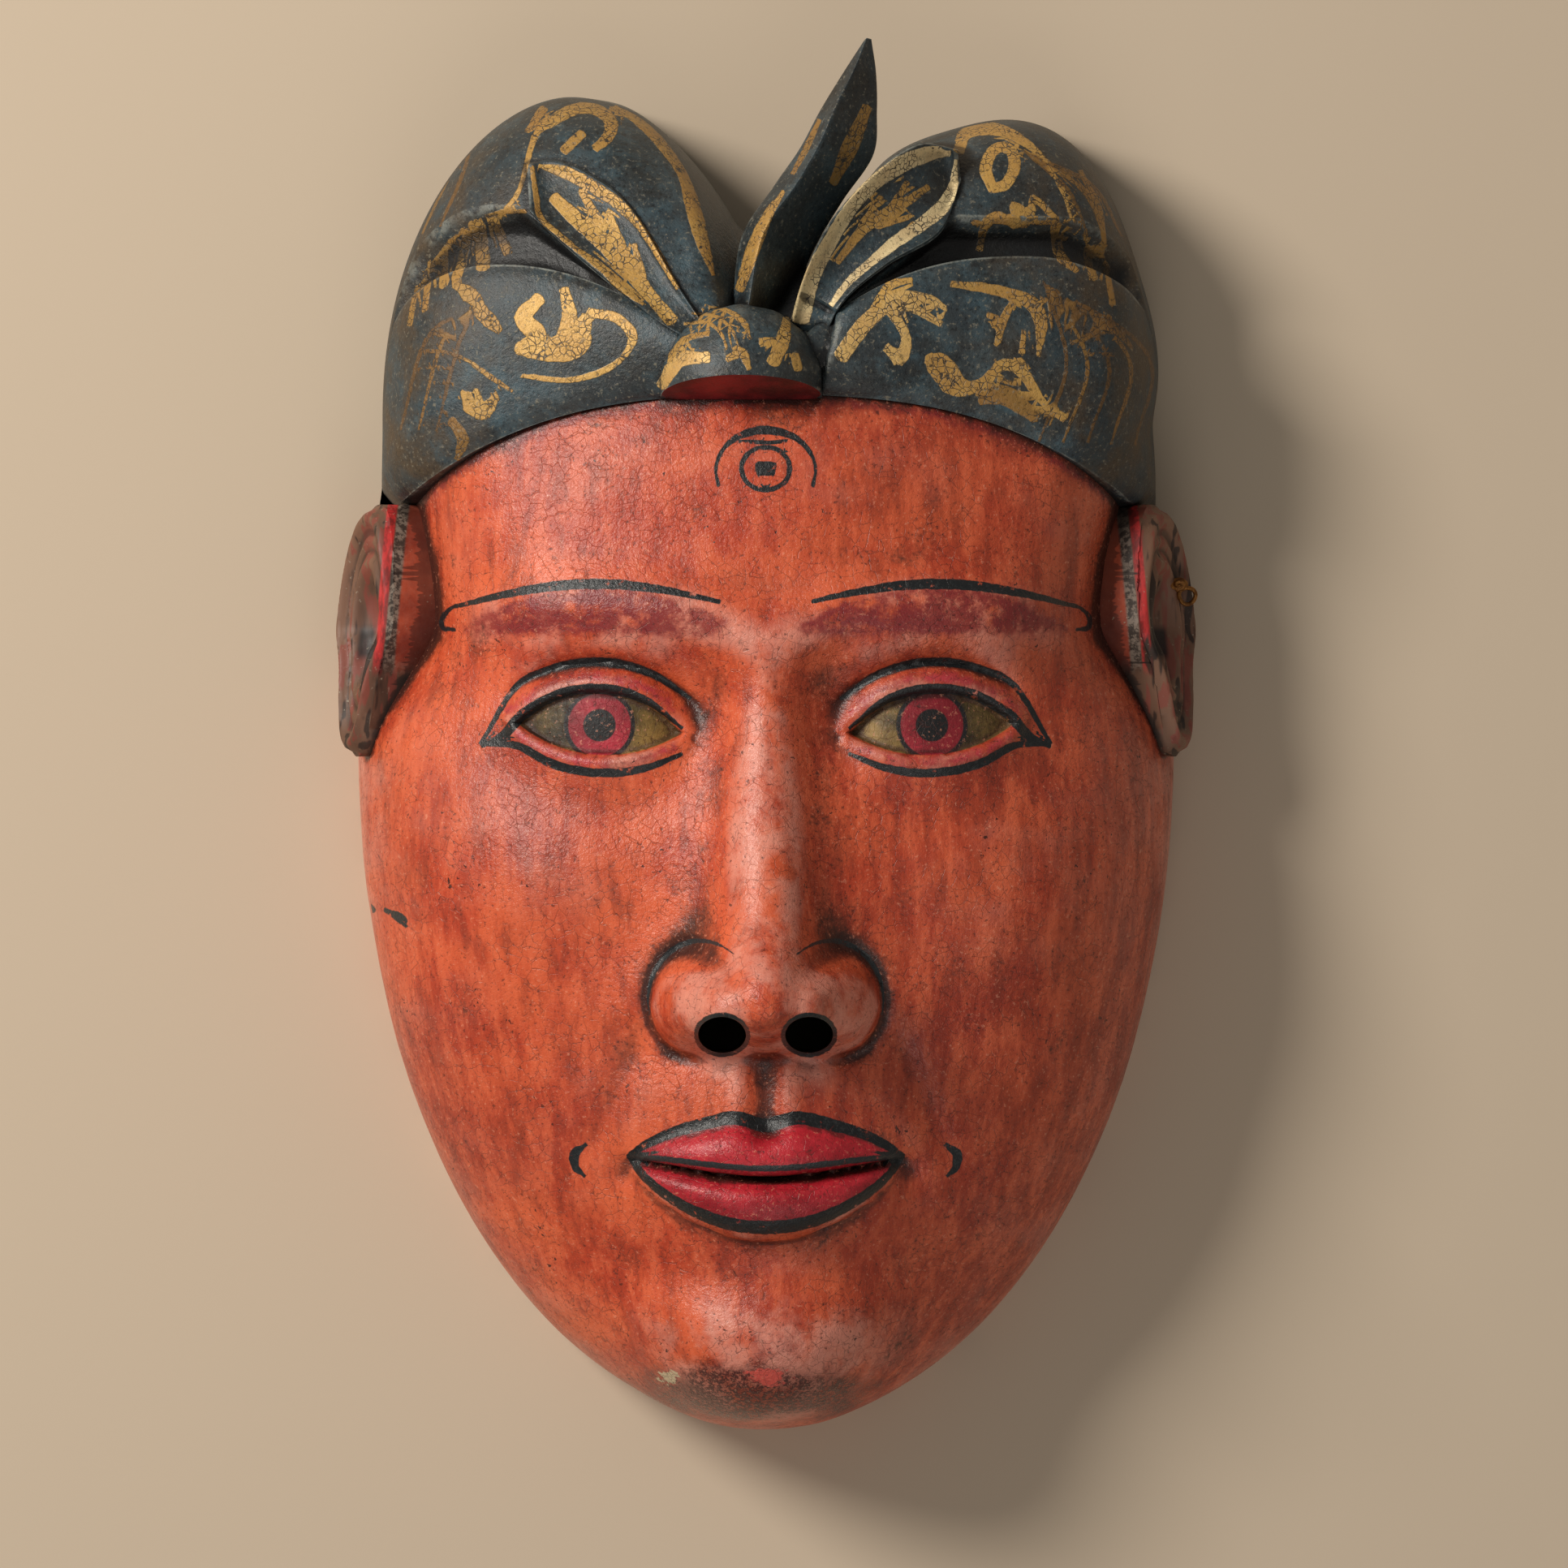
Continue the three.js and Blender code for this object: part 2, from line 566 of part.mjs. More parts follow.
const NOSTRIL = { x: 7.8, y: NOSE_Y - 0.6, halfWidth: 4.3, halfHeight: 3.4, fromZ: 34, toZ: 95 };

function makeNostril(side) {
  const rings = [0, 1].map((end) => Array.from({ length: 16 }, (_, i) => {
    const turn = (side * 2 * Math.PI * i) / 16;
    const x = side * NOSTRIL.x + NOSTRIL.halfWidth * Math.cos(turn);
    const y = NOSTRIL.y + NOSTRIL.halfHeight * Math.sin(turn);
    return new THREE.Vector3(x, y, mix(NOSTRIL.fromZ, NOSTRIL.toZ, end));
  }));
  return ringSolid(rings);
}

// ---------------------------------------------------------------- wire loop at the ear
const LOOP = { x: 77, y: 23.5, z: 20.5, radius: 1.5, wire: 0.4, knot: 1 };

function makeLoop() {
  const rings = new THREE.TorusGeometry(LOOP.radius, LOOP.wire, 6, 18);
  const knot = new THREE.SphereGeometry(LOOP.knot, 8, 6);
  knot.translate(-LOOP.radius, 0, 0);
  const [ring, ball] = [rings, knot].map((geometry) => {
    const places = geometry.attributes.position;
    const points = Array.from({ length: places.count }, (_, i) => new THREE.Vector3().fromBufferAttribute(places, i));
    const corners = Array.from(geometry.index.array);
    const triangles = [];
    for (let i = 0; i < corners.length; i += 3) triangles.push(corners.slice(i, i + 3));
    return solidFrom(points, triangles);
  });
  return ring.add(ball).translate([LOOP.x, LOOP.y, LOOP.z]);
}

// ---------------------------------------------------------------- assembly
function makeMask() {
  let mask = makeHead().add(makeCloth());
  for (const leaf of LEAVES) mask = mask.add(makeLeaf(leaf));
  mask = mask.add(makeKnob()).add(makeHorn()).add(makeEar(-1)).add(makeEar(1));
  return mask.subtract(makeHollow()).subtract(makeNostril(-1)).subtract(makeNostril(1));
}

function meshOf(solid, name, material, offset) {
  const { vertProperties, triVerts } = solid.getMesh();
  const geometry = new THREE.BufferGeometry();
  geometry.setAttribute("position", new THREE.Float32BufferAttribute(vertProperties, 3));
  geometry.setIndex(Array.from(triVerts));
  geometry.translate(-offset.x, -offset.y, -offset.z);
  geometry.computeVertexNormals();
  const mesh = new THREE.Mesh(geometry, material);
  mesh.name = name;
  return mesh;
}

const lacquer = new THREE.MeshStandardMaterial({ color: 0xcf5338, roughness: 0.45, metalness: 0 });
const wire = new THREE.MeshStandardMaterial({ color: 0x6b4a2a, roughness: 0.5, metalness: 0.6 });

const mask = makeMask();
const box = mask.boundingBox();
const middle = new THREE.Vector3((box.min[0] + box.max[0]) / 2, (box.min[1] + box.max[1]) / 2, box.min[2]);

const danceMask = new THREE.Group();
danceMask.add(meshOf(mask, "mask", lacquer, middle));
danceMask.add(meshOf(makeLoop(), "ear_wire_loop", wire, middle));

export default danceMask;
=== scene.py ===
"""Looks of a carved and painted wooden dance mask with a knotted headcloth.

The mask lies on its flat back. X runs to the viewer's right, Y up the face to the crest and Z out
of the face. Shapes are worked out in millimetres and put into the meshes in metres.
"""

import math

import bmesh
import bpy
import numpy as np
from bpy.props import FloatProperty, FloatVectorProperty, IntProperty, PointerProperty
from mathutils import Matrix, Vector


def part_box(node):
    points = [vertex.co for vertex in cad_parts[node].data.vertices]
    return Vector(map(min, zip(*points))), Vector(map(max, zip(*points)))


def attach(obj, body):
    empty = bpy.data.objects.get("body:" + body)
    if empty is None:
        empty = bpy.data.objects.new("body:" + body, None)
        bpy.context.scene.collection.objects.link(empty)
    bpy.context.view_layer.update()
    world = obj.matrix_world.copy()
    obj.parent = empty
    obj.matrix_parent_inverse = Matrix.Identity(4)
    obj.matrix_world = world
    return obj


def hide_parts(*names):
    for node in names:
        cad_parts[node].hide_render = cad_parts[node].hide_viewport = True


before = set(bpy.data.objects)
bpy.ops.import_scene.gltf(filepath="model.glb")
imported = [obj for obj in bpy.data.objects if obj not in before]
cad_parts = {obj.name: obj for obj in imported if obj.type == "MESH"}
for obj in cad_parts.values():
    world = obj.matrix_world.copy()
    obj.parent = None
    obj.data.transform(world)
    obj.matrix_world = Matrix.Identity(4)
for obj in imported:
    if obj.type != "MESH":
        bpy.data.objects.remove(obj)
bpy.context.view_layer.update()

bl_info = {
    "name": "Carved dance mask",
    "version": (1, 0, 0),
    "blender": (4, 5, 0),
    "location": "View3D > Sidebar > Mask",
    "description": "Carves and paints a wooden dance mask with a knotted headcloth",
    "category": "Add Mesh",
}

MM = 0.001
MASK_LOW, MASK_HIGH = (np.array(corner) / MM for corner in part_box("mask"))

# The canon of the face: the head is three and a half thirds high, and five eyes wide.
TIP_Y = float(MASK_HIGH[1])
CHIN_Y = float(MASK_LOW[1])
THIRD = (TIP_Y - CHIN_Y) / 3.5
NOSE_Y = CHIN_Y + THIRD
BROW_Y = CHIN_Y + 2 * THIRD
EYE_Y = 0.0
MOUTH_Y = NOSE_Y - THIRD / 3


# ---------------------------------------------------------------- small maths
def ramp(low, high, value):
    """Smooth step from 0 at low to 1 at high."""
    t = np.clip((value - low) / (high - low), 0.0, 1.0)
    return t * t * (3 - 2 * t)


def hill(distance, width, power=2.0):
    """Bell that is 1 at distance 0 and falls off over a width."""
    return np.exp(-np.abs(distance / width) ** power)


def mix(start, end, share):
    """From start to end, by a share that may be a number or an array."""
    return start + (end - start) * share


def in_mm(length):
    """A length property, held in metres, as millimetres."""
    return round(length / MM, 4)


def halved(low, high, holds):
    """Where a test stops holding between low and high, by halving the interval, for whole arrays."""
    near, far = low, high
    for _ in range(26):
        middle = (near + far) / 2
        held = holds(middle)
        near = np.where(held, middle, near)
        far = np.where(held, far, middle)
    return near


def crowded(count, places, thinned=None):
    """Stations from -1 to 1 that crowd round places, each (middle, width, strength), and thin out
    beyond a limit: the running total of a density, read back at even steps."""
    fine = np.linspace(-1, 1, 4001)
    density = np.ones_like(fine) + sum(s * hill(fine - middle, width) for middle, width, s in places)
    if thinned is not None:
        density = density * (1 - 0.85 * ramp(thinned, thinned + 0.06, fine))
    total = np.concatenate([[0.0], np.cumsum((density[1:] + density[:-1]) / 2)])
    return np.interp(np.linspace(0, total[-1], count), total, fine)


def curve_through(places, steps):
    """Catmull-Rom curve through the rows of places, with steps to each stretch."""
    p = np.asarray(places, float)
    run = np.vstack([2 * p[0] - p[1], p, 2 * p[-1] - p[-2]])
    t = (np.arange(steps) / steps)[None, :, None]
    a, b, c, d = (v[:, None, :] for v in (run[:-3], run[1:-2], run[2:-1], run[3:]))
    curve = 2 * b + (c - a) * t + (2 * a - 5 * b + 4 * c - d) * t**2 + (3 * b - a - 3 * c + d) * t**3
    return np.vstack([0.5 * curve.reshape(-1, p.shape[1]), p[-1:]])


def even_curve(places, shares):
    """Places at the given shares of a smooth curve, one stretch after another."""
    dense = curve_through(places, 24)
    return np.stack([np.interp(shares, np.linspace(0, 1, len(dense)), dense[:, i]) for i in range(2)], -1)


def unevenness(x, y, z, size, seed):
    """Gentle hand-made waviness, from -1 to 1: a sum of slanted waves of about one size."""
    rng = np.random.default_rng(seed)
    total = 0.0
    for _ in range(7):
        way = rng.normal(size=3)
        way = way / np.linalg.norm(way) * rng.uniform(0.7, 1.5) * 2 * np.pi / size
        total = total + np.sin(way[0] * x + way[1] * y + way[2] * z + rng.uniform(0, 6.28))
    return total / 4.0


# ---------------------------------------------------------------- outlines and the bare dome
FACE_WIDTH = 150.0
CROWN_DEPTH = 60.0
LOBE_RELIEF = 5.2
EYE_WIDTH = FACE_WIDTH / 5
CREST_OVALS = (  # middle, half width, half height, tilt, power
    ((-33.0, 61.5), 36.0, 55.5, 0.035, 1.85),
    ((42.7, 78.6), 25.3, 34.0, 0.32, 2.76),
    ((0.5, 30.0), 70.5, 61.0, 0.0, 3.6),
)
CREST_BLEND = 60.0


def oval_reach(angle, half_width, up, down, power=2.0):
    """Radius of a superellipse whose upper and lower halves differ in height."""
    across = np.abs(np.cos(angle)) / half_width
    along = np.abs(np.sin(angle)) / np.where(np.sin(angle) > 0, up, down)
    return (across**power + along**power) ** (-1 / power)


def crest_rule(x, y):
    """Below 0 inside the crest: the soft least of three tilted superellipse rules."""
    total = 0.0
    for (cx, cy), half_width, half_height, tilt, power in CREST_OVALS:
        across = (x - cx) * math.cos(tilt) + (y - cy) * math.sin(tilt)
        along = (y - cy) * math.cos(tilt) - (x - cx) * math.sin(tilt)
        size = np.abs(across / half_width) ** power + np.abs(along / half_height) ** power
        total = total + np.exp(-CREST_BLEND * (size ** (1 / power) - 1))
    return -np.log(total) / CREST_BLEND


def crest_reach(angle):
    """Distance from the middle to the crest outline, along each angle."""
    start, end = np.full_like(angle, 60.0), np.full_like(angle, 150.0)
    return halved(start, end, lambda r: crest_rule(r * np.cos(angle), r * np.sin(angle)) < 0)


REACH_ANGLES = np.linspace(-math.pi, math.pi, 2881)
REACHES = mix(
    oval_reach(REACH_ANGLES, FACE_WIDTH / 2, TIP_Y, -CHIN_Y, 2.06),
    crest_reach(REACH_ANGLES) - LOBE_RELIEF,
    ramp(-0.05, 0.35, np.sin(REACH_ANGLES)),
)


def head_reach(angle):
    """Outline of the head under the cloth: the oval of the face, then the crest less the cloth."""
    return np.interp(angle, REACH_ANGLES, REACHES)


def dome_fullness(x, y):
    """Share of the way from the middle to the outline, which follows an oval further in."""
    angle = np.arctan2(y, x)
    distance = np.hypot(x, y)
    outer = distance / head_reach(angle)
    inner = distance / oval_reach(angle, 72, 104, -CHIN_Y)
    return np.minimum(1, mix(inner, outer, ramp(0.55, 1, outer)))


def dome_point(x, y, relief):
    """The dome's height is depth * (1 - fullness^2) to a power; relief goes straight out in the
    middle and turns sideways towards the outline."""
    angle = np.arctan2(y, x)
    fullness = dome_fullness(x, y)
    power = 0.62 - 0.12 * ramp(0.2, 0.7, np.sin(angle))
    z = CROWN_DEPTH * (1 - fullness**2) ** (power / 2)
    slope = np.minimum(1, np.hypot(x, y) / head_reach(angle)) ** 3
    across, along = x / 72**2, y / 118**2
    length = np.maximum(np.hypot(across, along), 1e-9)
    way = np.stack([across / length * slope, along / length * slope, np.sqrt(1 - slope**2)], -1)
    return np.stack([x, y, z], -1) + way * np.asarray(relief)[..., None]


def footing(x, y, relief):
    """Where on the dome to start, so that the raised point lies at x, y seen from the front."""
    foot_x, foot_y = x, y
    for _ in range(5):
        raised = dome_point(foot_x, foot_y, relief)
        foot_x, foot_y = foot_x + x - raised[..., 0], foot_y + y - raised[..., 1]
    return foot_x, foot_y


def disc(a, b):
    """A square of stations as a disc, with no pole: angle and share of the way out."""
    across = a * np.sqrt(1 - b * b / 2)
    along = b * np.sqrt(1 - a * a / 2)
    return np.arctan2(along, across), np.minimum(1, np.hypot(across, along))


# ---------------------------------------------------------------- the carved face
EYE_TILT = 0.06
EYE_ARCS = ((-13.4, 20.0), (20.6, 25.4))     # middle and radius of the upper and lower lid arcs
LIP_HALF = 24.0


def eye_places(x, y):
    """Place seen from the eye's middle, and distances outside its upper and lower lid arcs."""
    side = np.abs(x) - EYE_WIDTH
    across = side * math.cos(EYE_TILT) + (y - EYE_Y) * math.sin(EYE_TILT)
    up = (y - EYE_Y) * math.cos(EYE_TILT) - side * math.sin(EYE_TILT)
    upper, lower = (np.hypot(across, up - middle) - radius for middle, radius in EYE_ARCS)
    return across, up, upper, lower


def lip_places(x):
    """Share of the half width, height of the mouth line, and the reach of each lip from it."""
    share = np.clip(np.abs(x) / LIP_HALF, 0, 1)
    line = MOUTH_Y - 0.9 * np.cos(np.pi * share) + 0.3
    bow = 1 - 0.17 * hill(x, 3.6) + 0.06 * hill(np.abs(x) - 6.5, 4.0)
    upper = 8.6 * (1 - share**1.7) ** 0.85 * bow
    lower = 10.2 * (1 - share**2.3) ** 0.75
    return share, line, upper, lower


def brow_line(x):
    """Height of the brow over each place across: an arch that falls at both ends."""
    side = np.abs(x)
    return BROW_Y - 1.5 + 3.8 * np.cos((side - 31) / 25 * np.pi / 2)


def eye_relief(x, y):
    """A soft oval hill for the eyeball, the opening sunk between two lid arcs with its own globe,
    a narrow ridge along each arc, and a crease and a fold further up."""
    across, up, upper, lower = eye_places(x, y)
    opening = np.maximum(upper, lower)
    ball = 6.8 * hill(np.hypot(across / 17.0, up / 11.8), 1, 3.2)
    globe = 1.3 * np.clip(1 - (across / 12.5) ** 2 - (up / 7.5) ** 2, 0, 1)
    recess = -2.0 * ramp(0.55, -0.55, opening)
    near = ramp(19.5, 15.0, np.abs(across))
    upper_lid = 1.0 * hill(upper - 1.9, 1.7) * ramp(1.8, 0.6, lower) * near
    lower_lid = 0.6 * hill(lower - 1.5, 1.3) * ramp(1.2, 0.2, upper) * near
    crease = -1.2 * hill(upper - 5.4, 1.0) * ramp(-3, 1, up) * ramp(20, 12, np.abs(across))
    fold = 1.2 * hill(upper - 9.0, 3.2) * ramp(-1, 4, up) * ramp(24, 12, np.abs(across))
    return ball + globe * (opening < 0) + recess + upper_lid + lower_lid + crease + fold


def nose_relief(x, y):
    """A bridge whose height grows from the brow to the tip, a ball on the tip, a wing on each side
    with a groove round it, and a small ridge between the nostrils."""
    side = np.abs(x)
    top, tip = EYE_Y + 10, NOSE_Y + 8
    down = np.clip((top - y) / (top - tip), 0, 1)
    reach = ramp(NOSE_Y - 5.0, NOSE_Y + 4.5, y) * ramp(top + 18, top - 6, y)
    height = (3 + 17 * down**1.2) * reach
    width = 6.6 + 3.4 * down**2
    bridge = height * (0.58 * hill(x, width, 2.6) + 0.42 * hill(x, width * 2, 2.2))
    ball = 7.0 * hill(np.hypot(x / 9.6, (y - NOSE_Y - 8.0) / 8.8), 1, 2.5)
    wing = 8.6 * hill(np.hypot((side - 12.6) / 6.4, (y - NOSE_Y - 5.2) / 7.2), 1, 3.4)
    around = np.hypot((side - 11.6) / 9.4, (y - NOSE_Y - 5.4) / 10.6)
    crease = -1.3 * hill(around - 1, 0.12) * ramp(10, 14, side) * ramp(-9, -3, y - NOSE_Y)
    columella = 2.2 * hill(x, 2.6) * hill(y - NOSE_Y + 1.5, 4.0)
    return bridge + ball + wing + crease + columella


def lip_relief(x, y):
    """Each lip swells as half a circle over its reach from the mouth line, which is a groove; a
    fine border runs round both and each corner is pressed in."""
    share, line, upper, lower = lip_places(x)
    above = y > line
    reach = np.maximum(np.where(above, upper, lower), 0.5)
    away = np.abs(y - line) / reach
    swell = np.sqrt(np.clip(1 - (2 * np.minimum(away, 1) ** np.where(above, 0.85, 0.75) - 1) ** 2, 0, 1))
    thickness = np.where(above, 4.2, 5.2) * (1 - share**2.4) * ramp(1.0, 0.9, share)
    parting = -2.0 * hill(y - line, 1.0) * ramp(1.1, 0.85, np.abs(x) / LIP_HALF)
    border = 0.45 * hill(away - 1.06, 0.09) * ramp(1, 0.8, share)
    corner = -1.1 * hill(np.hypot((np.abs(x) - 25.0) / 2.8, (y - MOUTH_Y + 0.4) / 2.8), 1)
    return swell * thickness + parting + border + corner


def face_relief(x, y):
    """How far the carved face stands off the bare dome: a sum of soft hills and hollows."""
    side = np.abs(x)
    relief = 2 * hill(np.hypot(x / 44, (y - 42) / 26), 1, 2.4)
    relief += 3.2 * hill(y - brow_line(x) - 1, 7.5) * ramp(62, 38, side) * (1 - 0.3 * hill(x, 8))
    relief -= 2 * hill(np.hypot((side - 66) / 14, (y - 20) / 24), 1)
    relief -= 6.5 * hill(np.hypot((side - EYE_WIDTH + 1) / 21, (y - 1) / 13.5), 1, 2.6)
    relief -= 3 * hill(np.hypot((side - 13.5) / 6, (y - 3) / 10), 1)
    relief += 4.2 * hill(np.hypot((side - 44) / 21, (y + 27) / 20), 1)
    relief += 1.5 * hill(np.hypot((side - 50) / 22, (y + 62) / 26), 1)
    relief += 7.5 * hill(np.hypot(x / 29, (y - MOUTH_Y - 2) / 23), 1, 2.3)
    relief += 13 * hill(np.hypot(x / 21, (y + 108) / 15), 1, 2.4)
    relief -= 3 * hill(np.hypot(x / 20, (y + 96.5) / 5), 1)
    smile = side - 20.5 - (NOSE_Y + 6 - y) * 0.40
    relief -= 0.8 * hill(smile, 3.2) * ramp(NOSE_Y + 10, NOSE_Y, y) * ramp(MOUTH_Y - 6, MOUTH_Y + 8, y)
    groove = ramp(NOSE_Y - 1, NOSE_Y - 5, y) * ramp(MOUTH_Y + 5.5, MOUTH_Y + 9, y)
    relief += groove * (0.7 * hill(side - 4.4, 1.8) - 1.3 * hill(x, 2.3))
    return relief + eye_relief(x, y) + nose_relief(x, y) + lip_relief(x, y)


# ---------------------------------------------------------------- the headcloth
EDGE_MIDDLE_Y = 59.8
EDGE_DROP = 19.0
EDGE_REACH = 65.0


def cloth_edge(x):
    """Lower edge of the cloth: level on the forehead, dropping towards the ears."""
    return EDGE_MIDDLE_Y - EDGE_DROP * np.abs(x / EDGE_REACH) ** 2.9


def roll_ridge(x):
    """Upper ridge of the rolled band: highest over each temple and low at the knob."""
    beyond = np.maximum(0, np.abs(x) - 43.5)
    left = 81.8 - 9.7 * (np.maximum(0, x + 44) / 26.4) ** 2 - 14.6 * (beyond / 22.6) ** 2.6
    right = 83.4 - 11.9 * (np.maximum(0, 43 - x) / 32.6) ** 2.3 - 15 * (beyond / 26) ** 2.2
    return np.where(x < -4.4, left, right)


def fold_ridge(x):
    """Lower ridge of each lobe and of the leaf inside it: the far bank of the valley."""
    left = np.minimum(71.4 - 0.84 * (x + 17), 92.6) - 20 * (np.maximum(0, -x - 46) / 21) ** 2.2
    right = np.minimum(72 + 0.84 * (x - 10), 90.6) - 18 * (np.maximum(0, x - 51) / 18) ** 1.9
    return np.maximum(roll_ridge(x) + 0.6, np.where(x < -4.4, left, right))


def margin_left(y):
    """Right-hand margin of the left lobe, where it drops to the middle gap."""
    return -9 - 18.3 * np.clip((y - 76) / 38.6, 0, 1.3) ** 2.55


def margin_right(y):
    """Edge of the right leaf across the middle gap."""
    return 5.4 + 21 * np.clip((y - 76) / 29.5, 0, 1.3) ** 1.7


def gap_depth(x, y):
    """How far the middle gap is sunk between the two lobes."""
    fullness = np.hypot(x, y) / head_reach(np.arctan2(y, x))
    in_gap = np.minimum(x - margin_left(y), margin_right(y) - x)
    return 7 * ramp(0, 6, in_gap) * ramp(69, 80, y) * ramp(1, 0.88, fullness)


def lobe_relief(x, y):
    """Lobes stand off the head, with a rib on the left margin and the gap sunk between them."""
    rib = 1.2 * hill(x - margin_left(y) + 1, 2.6) * ramp(76, 84, y)
    return LOBE_RELIEF + rib - gap_depth(x, y)


def cloth_sheet(columns, roll_rows=26, valley_rows=12, lobe_rows=42):
    """Columns fan out from the cloth's lower edge to the outline of the crest. Rows follow the
    lower edge, the ridge of the roll and the bank of the valley, so that each ridge is crisp."""
    side_x = float(halved(np.array(50.0), np.array(79.0), lambda x: np.hypot(x, cloth_edge(x))
                          < head_reach(np.arctan2(cloth_edge(x), x))))
    side_angle = math.atan2(float(cloth_edge(side_x)), side_x)
    a = crowded(columns, [(0.0, 0.35, 0.6)])
    x0 = side_x * np.sin(a * np.pi / 2)
    y0 = cloth_edge(x0)
    angle = np.pi / 2 - a * (np.pi / 2 - side_angle)
    x1, y1 = head_reach(angle) * np.cos(angle), head_reach(angle) * np.sin(angle)

    def crossing(rule):
        return halved(np.zeros_like(a), np.ones_like(a),
                      lambda s: mix(y0, y1, s) < rule(mix(x0, x1, s)))

    roll_end = crossing(roll_ridge)
    ridge = np.minimum(roll_end, 0.9)
    bank = np.clip(crossing(fold_ridge), ridge + 0.01, 0.94)
    open_valley = ramp(0.6, 5, (bank - ridge) * np.hypot(x1 - x0, y1 - y0))

    def rows(shares, relief):
        x, y = mix(x0, x1, shares), mix(y0, y1, shares)
        return dome_point(x, y, relief(x, y) if callable(relief) else relief)

    s = (1 - np.cos(np.linspace(0, np.pi, roll_rows)))[:, None] / 2
    roll = 2.6 + 4 * np.sin(np.pi * 0.62 * s) + 1.0 * s - 0.8 * hill(s, 0.05) - 0.5 * hill(s - 1, 0.05)
    roll = mix(roll, np.minimum(roll, LOBE_RELIEF), ramp(0.72, 0.95, roll_end))
    v = np.linspace(0.06, 1.0, valley_rows)[:, None]
    floor = 0.4 + 1.4 * (1 - ramp(0, 0.35, v)) ** 2 + (LOBE_RELIEF - 0.4) * ramp(0.62, 1.0, v) ** 1.6
    t = 1 - (1 - np.linspace(0.015, 1, lobe_rows)[:, None]) ** 1.6
    sheet = np.concatenate([
        rows(np.full((1, len(a)), 0.012), -2.5),
        rows(s * ridge, roll + 0 * a),
        rows(mix(ridge, bank, v), mix(LOBE_RELIEF, floor, open_valley)),
        rows(mix(bank, 1.0, t), lobe_relief),
    ])
    sheet[-1, :, 2] = 0
    return sheet


# ---------------------------------------------------------------- leaves, knob and horn
LEAVES = (  # lower edge, upper edge, relief at each, depth of its hollow, how level it stands
    (((-13, 69.5), (-20, 73.6), (-30.5, 82.2), (-38, 88.8), (-42.7, 93.4)),
     ((-10.5, 72), (-16, 80.4), (-24.5, 94.6), (-31.5, 100.4), (-38, 103.2), (-43.4, 102.6)),
     7.4, 6.2, 1.4, 0.0),
    (((10.5, 69.5), (14, 76.8), (22, 83.6), (31.5, 89.6), (35.4, 99)),
     ((3.8, 69.5), (6.2, 79.5), (11.3, 90.9), (19.5, 100.2), (27.5, 105.8), (34.8, 105)),
     8.6, 9.4, 2.6, 1.0),
)


def leaf_sheet(lower, upper, lower_relief, upper_relief, hollow, level, stations=70, across=30):
    """A leaf between two edge curves: raised ribs along both edges, hollow between them, and
    walls that go down into the cloth all round. It follows the dome, or stands level across."""
    u = np.linspace(0, 1, stations)
    v = (1 - np.cos(np.linspace(0, np.pi, across))) / 2
    low, high = even_curve(lower, u)[:, None], even_curve(upper, u)[:, None]
    place = mix(low, high, v[None, :, None])
    uu, vv = np.meshgrid(u, v, indexing="ij")
    border = 0.7 * (hill(vv - 0.05, 0.09) + hill(0.95 - vv, 0.09) + hill(0.97 - uu, 0.05))
    edge = -1.0 * (hill(vv, 0.015) + hill(1 - vv, 0.015))
    cup = hollow * np.sin(np.pi * vv) ** 0.8 * ramp(0, 0.35, uu) * ramp(1.08, 0.8, uu)
    relief = mix(lower_relief, upper_relief, vv) + border + edge - cup
    foot_x, foot_y = footing(place[..., 0], place[..., 1], relief)
    top = dome_point(foot_x, foot_y, relief)
    level_z = top[:, :1, 2] + relief - relief[:, :1] - 4.0 * ramp(0.5, 1.0, uu) - 6.0 * ramp(0.16, 0.0, uu)
    top = mix(top, np.concatenate([place, level_z[..., None]], axis=-1), level)
    sunk = mix(15.0, 28.0, level)
    base = top[:, [0, -1]] - np.array([0, 0, sunk])
    sheet = np.concatenate([base[:, :1], top, base[:, 1:]], axis=1)
    ends = sheet[[0, -1]] - np.array([0, 0, 0.6 * sunk])
    middle = mix(even_curve(lower, [0.6])[0], even_curve(upper, [0.6])[0], 0.5)
    apex = dome_point(middle[0], middle[1], -sunk - 5)
    return np.concatenate([ends[:1], sheet, ends[1:]]), apex


KNOB_MIDDLE = (-4.4, 62.0)
KNOB_HALF = (14.9, 14.6)


def knob_rings(height, rows=44, count=64):
    """Half a ball, its underside clamped to a slanting plane, with shallow pleats over it."""
    fall = np.linspace(0, np.pi, rows + 2)[1:-1, None]
    turn = np.linspace(0, 2 * np.pi, count, endpoint=False)[None]
    (cx, cy), (rx, ry) = KNOB_MIDDLE, KNOB_HALF
    floor = dome_point(np.array(cx), np.array(cy), 0.0)[2] + 2
    pleat = 1 - 0.018 * (0.5 + 0.5 * np.cos(turn * 14)) * np.sin(fall) ** 2
    x = cx + rx * np.sin(fall) * np.cos(turn) * pleat
    y = cy + ry * np.sin(fall) * np.sin(turn) * pleat
    z = floor + height * np.cos(fall) * pleat
    underside = cy - 2.4 + 0.3 * np.maximum(0, z - floor)
    flattened = np.where(y > underside, y, underside + 0.03 * (y - underside))
    return np.stack([x, flattened, z + 0 * x], -1)


